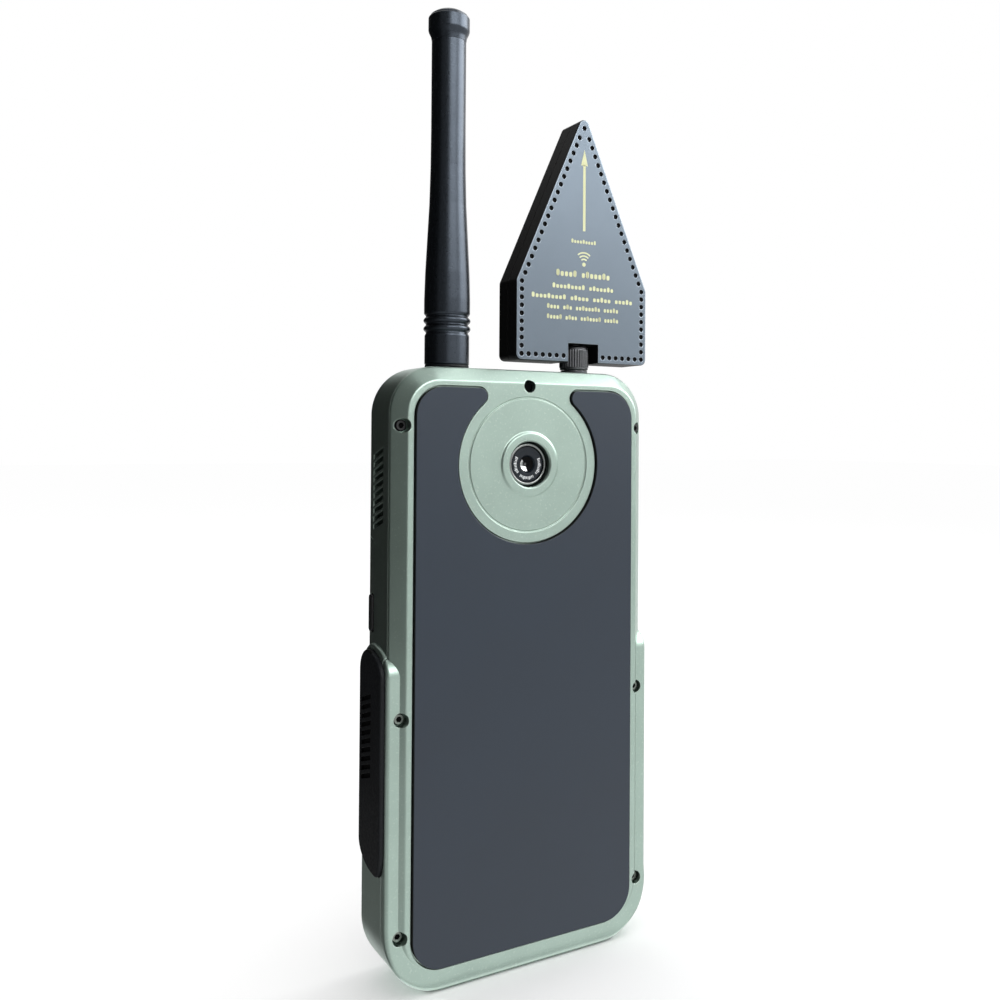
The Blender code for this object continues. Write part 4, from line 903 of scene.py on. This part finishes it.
def build_screws():
    seat = -SCREW_SEAT_Y + GAP
    top = seat + SCREW_HEAD_HEIGHT
    mouth = SOCKET_RADIUS + 0.15 * MM
    for index, (x, z) in enumerate(screw_places(), 1):
        screw = turned(f"socket_screw_{index}", [
            (0.0, top), (1.5 * MM, top), (SCREW_HEAD, top - 0.3 * MM),
            (SCREW_HEAD, seat), (SCREW_SHANK, seat), (SCREW_SHANK, -SCREW_TIP_Y),
            (0.0, -SCREW_TIP_Y)], "y", (x, 0.0, z), soft=0.12 * MM, sides=48)
        socket = turned(f"socket_{index}", [
            (0.0, top - SOCKET_DEPTH - 0.02 * MM), (SOCKET_RADIUS, top - SOCKET_DEPTH),
            (SOCKET_RADIUS, top - 0.1 * MM), (mouth, top + 0.02 * MM), (mouth, top + MM),
            (0.0, top + MM)], "y", (x, 0.0, z), sides=6)
        # The top screws get the black look: painted shade of their deep pockets.
        place(smooth(cut(screw, socket)), BLACK if z > SHADED_SCREW_Z else SCREW_STEEL,
              "instrument", "black_steel", f"cover_screw_{index}")

        # Painted shade: the head's rim beyond this radius and the faces below its top get the
        # near-black look.
        def in_shade(polygon):
            reach = math.hypot(polygon.center.x - x, polygon.center.z - z)
            return reach > SCREW_SHADE_RADIUS or polygon.center.y > -top + 0.05 * MM

        paint(screw, PAINTED_SHADE, in_shade)


def build_glass():
    glass = loft("screen_glass", rounded_rings(
        lambda inset: screen_outline(GLASS_HALF_WIDTH - inset, GLASS_LOW + inset,
                                     GLASS_RADIUS - inset), GLASS_Y[1], GLASS_Y[0],
        0.25 * MM), "y")
    place(smooth(glass), GLASS, "instrument", "cover_glass", "touch_glass")
    area = prisms("display_area", [screen_outline(DISPLAY_HALF_WIDTH, DISPLAY_LOW, MM)], "y",
                  GLASS_Y[1] - PRINT_RISE, GLASS_Y[1] + PRINT_RISE)
    place(area, DISPLAY, "instrument", "cover_glass")


def build_button():
    low, high = (BUTTON_Y[0], BUTTON_Z[0]), (BUTTON_Y[1], BUTTON_Z[1])
    inner = HALF_WIDTH - WALL - 1.4 * MM
    stem = loft("side_button", rounded_rings(
        lambda inset: box_outline(low, high, BUTTON_RADIUS, -inset), -BUTTON_OUTER, -inner,
        0.4 * MM), "x")
    flange = prisms("flange", [box_outline((low[0] - BUTTON_FLANGE, low[1] - BUTTON_FLANGE),
                                           (high[0] + GAP, high[1] + BUTTON_FLANGE),
                                           BUTTON_RADIUS)],
                    "x", -(inner + MM), -inner - 0.001 * MM)
    place(smooth(join(stem, flange)), BLACK, "button", "black_plastic", "power_button")


# ---- lens

def build_lens():
    centre = (0.0, 0.0, CAMERA_Z)
    face = LENS_FACE_OUT
    step = face - LENS_STEP
    barrel = turned("lens_housing", [
        (LENS_THROAT, face - CONE_PROFILE[0][1]), (LENS_MOUTH, face), (LENS_FACE_RADIUS, face),
        (LENS_FACE_RADIUS, step), (HOUSING_RADIUS, step), (HOUSING_RADIUS, HOUSING_BACK),
        (HOUSING_BORE, HOUSING_BACK), (HOUSING_BORE, LENS_SHELF), (LENS_THROAT, LENS_SHELF)],
        "y", centre, soft=0.12 * MM, closed=True)
    place(smooth(barrel), LENS_FACE, "instrument", "black_plastic", "lens_barrel")
    ring = turned("lens_trim", [
        *((radius, face + rise) for radius, rise in zip(TRIM_RADII, TRIM_RISES)),
        (TRIM_RADII[2], step + GAP), (TRIM_RADII[0], step + GAP)], "y", centre,
        soft=0.15 * MM, closed=True)
    place(smooth(ring), TRIM, "instrument", "bright_steel", "lens_ring")
    dome = [(DOME_RADIUS * math.sin(math.radians(a)),
             DOME_FOOT + DOME_RISE * math.cos(math.radians(a))) for a in range(0, 91, 9)]
    back, front = LENS_BLOCK
    glass = turned("lens_dome", dome + [
        (DOME_RADIUS, front), (LENS_BLOCK_RADIUS, front), (LENS_BLOCK_RADIUS, back),
        (0.0, back)], "y", centre)
    place(smooth(glass), LENS, "instrument", "lens_glass", "lens_glass")
    # Painted glint: the cone keeps the bright steel only on its left part near the centre
    # height; the rest gets the near-black painted shade.
    cone = turned("lens_glint_cone", [(radius, face - depth) for radius, depth in CONE_PROFILE],
                  "y", centre, soft=0.03 * MM, closed=True)
    place(smooth(cone), BRIGHT, "instrument", "bright_steel")

    def in_shade(polygon):
        rise = polygon.center.z - CAMERA_Z + GLINT_DROP
        return polygon.center.x > GLINT_RIGHT or abs(rise) > GLINT_HALF_HEIGHT

    paint(cone, PAINTED_SHADE, in_shade)
    work = bmesh.new()
    for index in range(SCALE_MARKS):
        if index % SCALE_GAP in (0, SCALE_GAP - 1):
            continue
        angle = math.radians(SCALE_START + SCALE_SWEEP * index / (SCALE_MARKS - 1))
        width = SCALE_WIDTHS[index % 4] * MM
        out = Vector((math.cos(angle), math.sin(angle)))
        side = Vector((-out.y, out.x)) * width / 2
        inner, outer = SCALE_INNER, SCALE_OUTER[index % 4] * MM
        corners = [out * inner - side, out * outer - side, out * outer + side,
                   out * inner + side]
        add_loft(work, [(-y, [(c.x, c.y + CAMERA_Z) for c in corners])
                        for y in (face - PRINT_RISE, face + PRINT_RISE)], "y")
    place(mesh_object("lens_scale", work), WHITE_INK, "instrument", "black_plastic")


# ---- rod antenna

def build_rod():
    centre = (-ANTENNA_X, 0.0, 0.0)
    crown = ROD_RIB_RADIUS - 0.15 * MM
    outer = [(ROD_TIP_RADIUS, ROD_CAP_LOW - 0.05 * MM),
             (ROD_TIP_RADIUS, ROD_CAP_LOW - 0.1 * MM), *ROD_TAPER,
             (ROD_TAPER[-1][0], ROD_GROOVE_Z + ROD_FLANK)]
    for index in range(ROD_GROOVES):
        z = ROD_GROOVE_Z - index * ROD_RIB_PITCH
        outer += [(ROD_GROOVE_RADIUS, z + 0.15 * MM), (ROD_GROOVE_RADIUS, z - 0.15 * MM)]
        if index < ROD_GROOVES - 1:
            outer += [(crown, z - ROD_FLANK), (ROD_RIB_RADIUS, z - ROD_RIB_PITCH / 2),
                      (crown, z - ROD_RIB_PITCH + ROD_FLANK)]
    outer += [(ROD_FOOT_RADIUS, ROD_GROOVE_Z - (ROD_GROOVES - 1) * ROD_RIB_PITCH - ROD_FLANK),
              (ROD_FOOT_RADIUS, ROD_BASE - 0.15 * MM)]
    inside = [(ROD_BORE, ROD_BASE - 0.15 * MM), (ROD_BORE, ROD_BORE_TOP),
              (ROD_CORE, ROD_BORE_TOP), (ROD_CORE, ROD_CAP_LOW - 0.05 * MM)]
    sheath = turned("rod_sheath", outer + inside, "z", centre, soft=0.5 * MM, closed=True,
                    steps=4)
    place(smooth(sheath, 50), SHEATH, "rod_antenna", "antenna_rubber", "rod_antenna_sheath")
    top = softened([
        (0.0, ROD_TOP), (ROD_CAP_RADIUS - 2.3 * MM, ROD_TOP - 0.05 * MM),
        (ROD_CAP_RADIUS - 0.6 * MM, ROD_TOP - 1.15 * MM),
        (ROD_CAP_RADIUS - 0.45 * MM, ROD_TOP - 1.7 * MM),
        (ROD_CAP_RADIUS, ROD_TOP - 2.0 * MM), (ROD_CAP_RADIUS, ROD_TOP - 6.2 * MM),
        (ROD_TIP_RADIUS + 0.25 * MM, ROD_CAP_LOW + 1.6 * MM),
        (ROD_TIP_RADIUS, ROD_CAP_LOW + 0.1 * MM), (ROD_TIP_RADIUS, ROD_CAP_LOW)],
        0.4 * MM)
    cap = turned("rod_tip", top + [
        (CAP_STEM, ROD_CAP_LOW), (CAP_STEM, ROD_CAP_LOW - CAP_STEM_LENGTH),
        (0.0, ROD_CAP_LOW - CAP_STEM_LENGTH)], "z", centre)
    place(smooth(cap, 50), SHEATH, "rod_antenna", "antenna_rubber", "rod_antenna_cap")
    seal_radius = ROD_FOOT_RADIUS - 0.1 * MM
    seal = turned("rod_seal_ring", [
        (SEAL_BORE, SEAL_Z[1]), (seal_radius, SEAL_Z[1]), (seal_radius, SEAL_Z[0]),
        (SEAL_BORE, SEAL_Z[0])], "z", centre, soft=0.15 * MM, closed=True)
    place(smooth(seal, 50), RUBBER, "rod_seal", "grip_rubber", "rod_antenna_gasket")


# ---- directional antenna

def along(first, last, count):
    return [Vector(first).lerp(Vector(last), index / (count - 1)) for index in range(count)]


def dimple_places():
    """Centres of the dimples that follow the outline a little inside its edge."""
    inset, first = DIMPLE_INSET, DIMPLE_FIRST
    slope = math.atan2(LOG_APEX - LOG_SHOULDER, LOG_HALF_WIDTH)
    width = LOG_HALF_WIDTH - inset
    apex = LOG_APEX - inset / math.cos(slope)
    shoulder = apex - width * math.tan(slope)
    low = LOG_LOW + inset
    corners = [(first, apex - first * math.tan(slope)), (width, shoulder), (width, low),
               (NOTCH_HALF_WIDTH + inset, low)]
    right = [Vector(corners[0])]
    for start, end, count in zip(corners, corners[1:], DIMPLE_COUNTS):
        right += along(start, end, count)[1:]
    places = [Vector((0.0, apex - DIMPLE_APEX_DROP))]
    for point in right:
        places += [point, Vector((-point.x, point.y))]
    return places


def dimples(name, face, inward):
    """Round-bottomed drills, one for each dimple, in one object."""
    work = bmesh.new()
    for spot in dimple_places():
        middle = (spot.x + ANTENNA_X, spot.y)
        add_loft(work, [(face - inward * depth * MM,
                         arc(middle, DIMPLE_RADIUS * grow, 0, 330, 30))
                        for grow, depth in DIMPLE_STEPS], "y")
    return mesh_object(name, work)


def bar(u0, u1, v, height):
    return box_outline((u0 + ANTENNA_X, v - height / 2), (u1 + ANTENNA_X, v + height / 2),
                       height * 0.3)


def ring_segment(v, radius, thickness, half_angle):
    outer = arc((ANTENNA_X, v), radius + thickness / 2, 90 - half_angle, 90 + half_angle, 6)
    inner = arc((ANTENNA_X, v), radius - thickness / 2, 90 + half_angle, 90 - half_angle, 6)
    return outer + inner


def build_arrow():
    wall_y = LOG_HALF_DEPTH - LOG_WALL
    for side, sign in (("rear", -1), ("front", 1)):
        face = sign * LOG_HALF_DEPTH
        shell = loft(f"arrow_{side}", rounded_rings(log_outline, face, sign * GAP / 2,
                                                    0.45 * MM), "y")
        hollow = prisms("hollow", [log_outline(LOG_WALL)], "y", -sign * REACH, sign * wall_y)
        passage = turned("passage", [
            (0.0, NOTCH_TOP - MM), (NUT_THROAT, NOTCH_TOP - MM),
            (NUT_THROAT, NOTCH_TOP + LOG_WALL + MM), (0.0, NOTCH_TOP + LOG_WALL + MM)], "z",
            (ANTENNA_X, 0.0, 0.0), sides=48)
        cut(shell, hollow, passage, dimples("dimples", face, -sign))
        place(smooth(shell), ARROW_SIDE, "directional_antenna", "antenna_plastic",
              f"directional_antenna_{side}_shell")
        paint(shell, ARROW_FACE, lambda polygon: (
            abs(polygon.center.y - face) < 0.2 * MM and abs(polygon.normal.y) > 0.5))
    build_arrow_print()


def build_arrow_print():
    """Plain arrow, signal symbol and bars in place of lettering, on the camera side."""
    head = [(ANTENNA_X, ARROW_TIP), (ANTENNA_X - ARROW_HALF_WIDTH, ARROW_BARB),
            (ANTENNA_X + ARROW_HALF_WIDTH, ARROW_BARB)]
    shaft = box_outline((ANTENNA_X - SHAFT_HALF_WIDTH, SHAFT_Z[0]),
                        (ANTENNA_X + SHAFT_HALF_WIDTH, SHAFT_Z[1]), 0.1 * MM)
    outlines = [head, shaft]
    outlines += [ring_segment(SIGNAL_Z, radius, SIGNAL_WIDTH, SIGNAL_HALF_ANGLE)
                 for radius in SIGNAL_RADII]
    outlines.append(arc((ANTENNA_X, SIGNAL_DOT_Z), SIGNAL_DOT_RADIUS, 0, 340, 20))
    for v, tall, pitch, words in PRINT_ROWS:
        u = -pitch * (sum(words) + len(words) - 1) / 2
        for word, count in enumerate(words):
            for index in range(count):
                height = tall * (LOW_BAR if (3 * index + word) % 4 else 1.0)
                centre = v + (height - tall) / 2
                outlines.append(bar(u * MM, (u + BAR_FILL * pitch) * MM, centre * MM,
                                    height * MM))
                u += pitch
            u += pitch
    outer_y = -LOG_HALF_DEPTH - PRINT_LIFT
    place(prisms("arrow_print", outlines, "y", outer_y, outer_y + 2 * PRINT_LIFT), PRINT,
          "directional_antenna", "antenna_plastic")


def build_nut():
    """Coupling nut with fine knurling between its chamfers."""
    centre = Vector((ANTENNA_X, 0.0, 0.0))
    collar, thread = NUT_RADIUS - 0.2 * MM, JACK_RADIUS + GAP
    profile = [(NUT_THROAT, NUT_HIGH, 0.0), (NUT_RADIUS - 0.9 * MM, NUT_HIGH, 0.0),
               (collar, NUT_HIGH - 0.7 * MM, 0.0), (collar, NUT_HIGH - 1.3 * MM, 0.0),
               (NUT_RADIUS, NUT_HIGH - 1.5 * MM, 1.0), (NUT_RADIUS, NUT_LOW + 1.0 * MM, 1.0),
               (collar, NUT_LOW + 0.8 * MM, 0.0), (collar, NUT_LOW + 0.2 * MM, 0.0),
               (NUT_RADIUS - 0.4 * MM, NUT_LOW, 0.0), (thread, NUT_LOW, 0.0),
               (thread, NUT_HIGH - NUT_SHELF, 0.0), (NUT_THROAT, NUT_HIGH - NUT_SHELF, 0.0)]
    work = bmesh.new()
    rows = []
    for radius, height, knurl in profile:
        row = []
        for index in range(2 * NUT_TEETH):
            angle = math.pi * index / NUT_TEETH
            reach = radius - knurl * TOOTH_DEPTH * (index % 2)
            row.append(work.verts.new(centre + Vector((
                reach * math.cos(angle), reach * math.sin(angle), height))))
        rows.append(row)
    for first, second in zip(rows, rows[1:] + rows[:1]):
        for index in range(2 * NUT_TEETH):
            after = (index + 1) % (2 * NUT_TEETH)
            work.faces.new((first[index], first[after], second[after], second[index]))
    nut = mesh_object("knurled_nut", work)
    place(smooth(nut, 20), DARK_STEEL, "coupling_nut", "black_steel",
          "directional_antenna_nut")


def build_jacks():
    """Threaded antenna jacks with a black collar that lies on the top of the body."""
    low, high = JACK_COLLAR_Z
    thread = []
    for index in range(THREAD_TURNS):
        z = JACK_TOP - 0.5 * MM - index * THREAD_PITCH
        thread += [(JACK_RADIUS, z), (JACK_RADIUS - THREAD_DEPTH, z - THREAD_PITCH / 2)]
    profile = [(0.0, JACK_SOCKET_Z), (JACK_SOCKET_RADIUS, JACK_SOCKET_Z),
               (JACK_SOCKET_RADIUS, JACK_TOP), (JACK_RADIUS - 0.35 * MM, JACK_TOP), *thread,
               (JACK_RADIUS - 0.1 * MM, high), (JACK_COLLAR, high), (JACK_COLLAR, low),
               (JACK_RADIUS, low), (JACK_RADIUS, JACK_SHOULDER_Z),
               (JACK_TAIL_RADIUS, JACK_SHOULDER_Z), (JACK_TAIL_RADIUS, JACK_TAIL_Z),
               (0.0, JACK_TAIL_Z)]
    for side, x in (("left", -ANTENNA_X), ("right", ANTENNA_X)):
        jack = turned(f"jack_{side}", profile, "z", (x, 0.0, 0.0))
        place(smooth(jack, 25), DARK_STEEL, "instrument", "black_steel",
              f"antenna_jack_{side}")


build_cover()
build_frame()
build_panel()
build_pads()
build_screws()
build_glass()
build_button()
build_lens()
build_rod()
build_arrow()
build_nut()
build_jacks()

for entry in frame["record"]["subparts"]:
    node = frame["nodes"][entry["node"]]
    look = OTHER_LOOKS.get(entry["node"], FINISHES[entry["material_slot"]])
    for material_slot in node.material_slots:
        material_slot.material = look


# ---- studio

# Camera that took the photo, found by a fit to the body's edges and circles.
CAMERA_AT = (-0.15921, -0.29132, 0.16808)
CAMERA_TURN = (-30.296, 0.76, 0.346)
FOCAL_LENGTH = 36.16
SENSOR_WIDTH = 36.0
CAMERA_SHIFT = (-0.0409, -0.0754)

# Reflection cards, in metres: the planes they lie in, their spans and their brightness.
CARD_BASE = 0.001
CARD_LEFT_X = -0.3
CARD_RIGHT_X = 0.9
CARD_HIGH_Y = -0.9
CARD_BACK_Y = 3.0
CARD_TOP = 1.2
BODY_SIDE_X = -0.052
LEFT_CARDS = ((-0.7, -0.08, 0.24), (-0.08, 6.0, 0.02))
FLOOR_CARDS = ((-0.4, -0.013, 0.8), (-0.013, 0.15, 0.17), (0.15, 6.0, 0.03))
HIGH_CARDS = ((-0.25, 0.4, 0.5, 6.0), (0.4, 0.9, 0.56, 3.2))
RIGHT_CARDS = ((0.3, 0.5, 4.5), (0.5, 1.1, 9.0))
UNDER_CARD = (-0.044, 0.044, -0.013, 0.011, 1.7)
FRONT_CARD = (-0.05, 0.35, -0.3, -0.015, 1.35)
BACK_CARD = (-3.0, 0.6, 1.9, 0.06)
FLOOR_SIZE = 6.0
FLOOR_TONE = 0.99
WHITE = (1.0, 1.0, 1.0, 1.0)
LAMP_AT = (0.55, 0.0, 0.95)
LAMP_AIM = (0.0, 0.0, 0.19)
LAMP_SIZE = 0.5
LAMP_POWER = 2.6


def build_camera_view():
    yaw, pitch, roll = (math.radians(a) for a in CAMERA_TURN)
    ahead = Vector((-math.sin(yaw) * math.cos(pitch), math.cos(yaw) * math.cos(pitch),
                    math.sin(pitch)))
    level = Vector((math.cos(yaw), math.sin(yaw), 0.0))
    upright = level.cross(ahead)
    right = level * math.cos(roll) + upright * math.sin(roll)
    up = upright * math.cos(roll) - level * math.sin(roll)
    data = bpy.data.cameras.new("photo_view")
    data.lens = FOCAL_LENGTH
    data.sensor_width = SENSOR_WIDTH
    data.shift_x, data.shift_y = CAMERA_SHIFT
    data.clip_start = 0.01
    camera = bpy.data.objects.new("photo_view", data)
    basis = Matrix((right, up, -ahead)).transposed().to_4x4()
    camera.matrix_world = Matrix.Translation(CAMERA_AT) @ basis
    bpy.context.scene.collection.objects.link(camera)
    bpy.context.scene.camera = camera


def build_softbox():
    data = bpy.data.lights.new("overhead", "AREA")
    data.shape = "RECTANGLE"
    data.size = data.size_y = LAMP_SIZE
    data.energy = LAMP_POWER
    lamp = bpy.data.objects.new("overhead", data)
    lamp.location = LAMP_AT
    lamp.rotation_euler = (Vector(LAMP_AIM) - Vector(LAMP_AT)).to_track_quat(
        "-Z", "Y").to_euler()
    bpy.context.scene.collection.objects.link(lamp)


def studio_look(name, tone, glow=0.0):
    """A grey look without gloss, for the floor and the cards."""
    look = bpy.data.materials.new(name)
    look.use_nodes = True
    look.cycles.emission_sampling = "NONE"
    fill(look.node_tree.nodes["Principled BSDF"], Base_Color=(tone, tone, tone, 1.0),
         Roughness=1.0, Specular_IOR_Level=0.0, Emission_Color=WHITE, Emission_Strength=glow)
    return look


def reflection_card(name, corners, brightness):
    """A studio card that only shows as a reflection in glossy surfaces."""
    work = bmesh.new()
    work.faces.new([work.verts.new(corner) for corner in corners])
    card = mesh_object(name, work)
    card.data.materials.append(studio_look(name, 0.0, brightness))
    card.visible_camera = False
    card.visible_diffuse = False
    card.visible_shadow = False


def flat_card(name, x_near, x_far, y_near, y_far, brightness):
    """A card that lies just above the floor."""
    reflection_card(name, [(x_near, y_near, CARD_BASE), (x_far, y_near, CARD_BASE),
                           (x_far, y_far, CARD_BASE), (x_near, y_far, CARD_BASE)], brightness)


def wall_card(name, first, last, low, high, brightness):
    """An upright card over the line from first to last."""
    reflection_card(name, [(*first, low), (*last, low), (*last, high), (*first, high)],
                    brightness)


def build_cards():
    for near, far, brightness in LEFT_CARDS:
        wall_card("card_left", (CARD_LEFT_X, near), (CARD_LEFT_X, far), CARD_BASE, CARD_TOP,
                  brightness)
    for near, far, brightness in FLOOR_CARDS:
        flat_card("card_floor", CARD_LEFT_X, BODY_SIDE_X, near, far, brightness)
    flat_card("card_base", *UNDER_CARD)
    flat_card("card_front", *FRONT_CARD)
    near, far, high, brightness = BACK_CARD
    wall_card("card_back", (near, CARD_BACK_Y), (far, CARD_BACK_Y), CARD_BASE, high,
              brightness)
    for near, far, low, brightness in HIGH_CARDS:
        wall_card("card_high", (near, CARD_HIGH_Y), (far, CARD_HIGH_Y), low, CARD_TOP,
                  brightness)
    for low, high, brightness in RIGHT_CARDS:
        wall_card("card_right", (CARD_RIGHT_X, CARD_HIGH_Y), (CARD_RIGHT_X, 0.05), low, high,
                  brightness)


def build_studio():
    bpy.context.scene.view_settings.view_transform = "Standard"
    world = bpy.data.worlds.new("studio")
    world.use_nodes = True
    fill(world.node_tree.nodes["Background"], Color=WHITE, Strength=1.0)
    bpy.context.scene.world = world
    work = bmesh.new()
    bmesh.ops.create_grid(work, x_segments=8, y_segments=8, size=FLOOR_SIZE)
    floor = mesh_object("studio_floor", work)
    floor.location.z = CAD_LOW.z
    floor.data.materials.append(studio_look("studio_floor", FLOOR_TONE))
    build_softbox()
    build_cards()


build_camera_view()
build_studio()
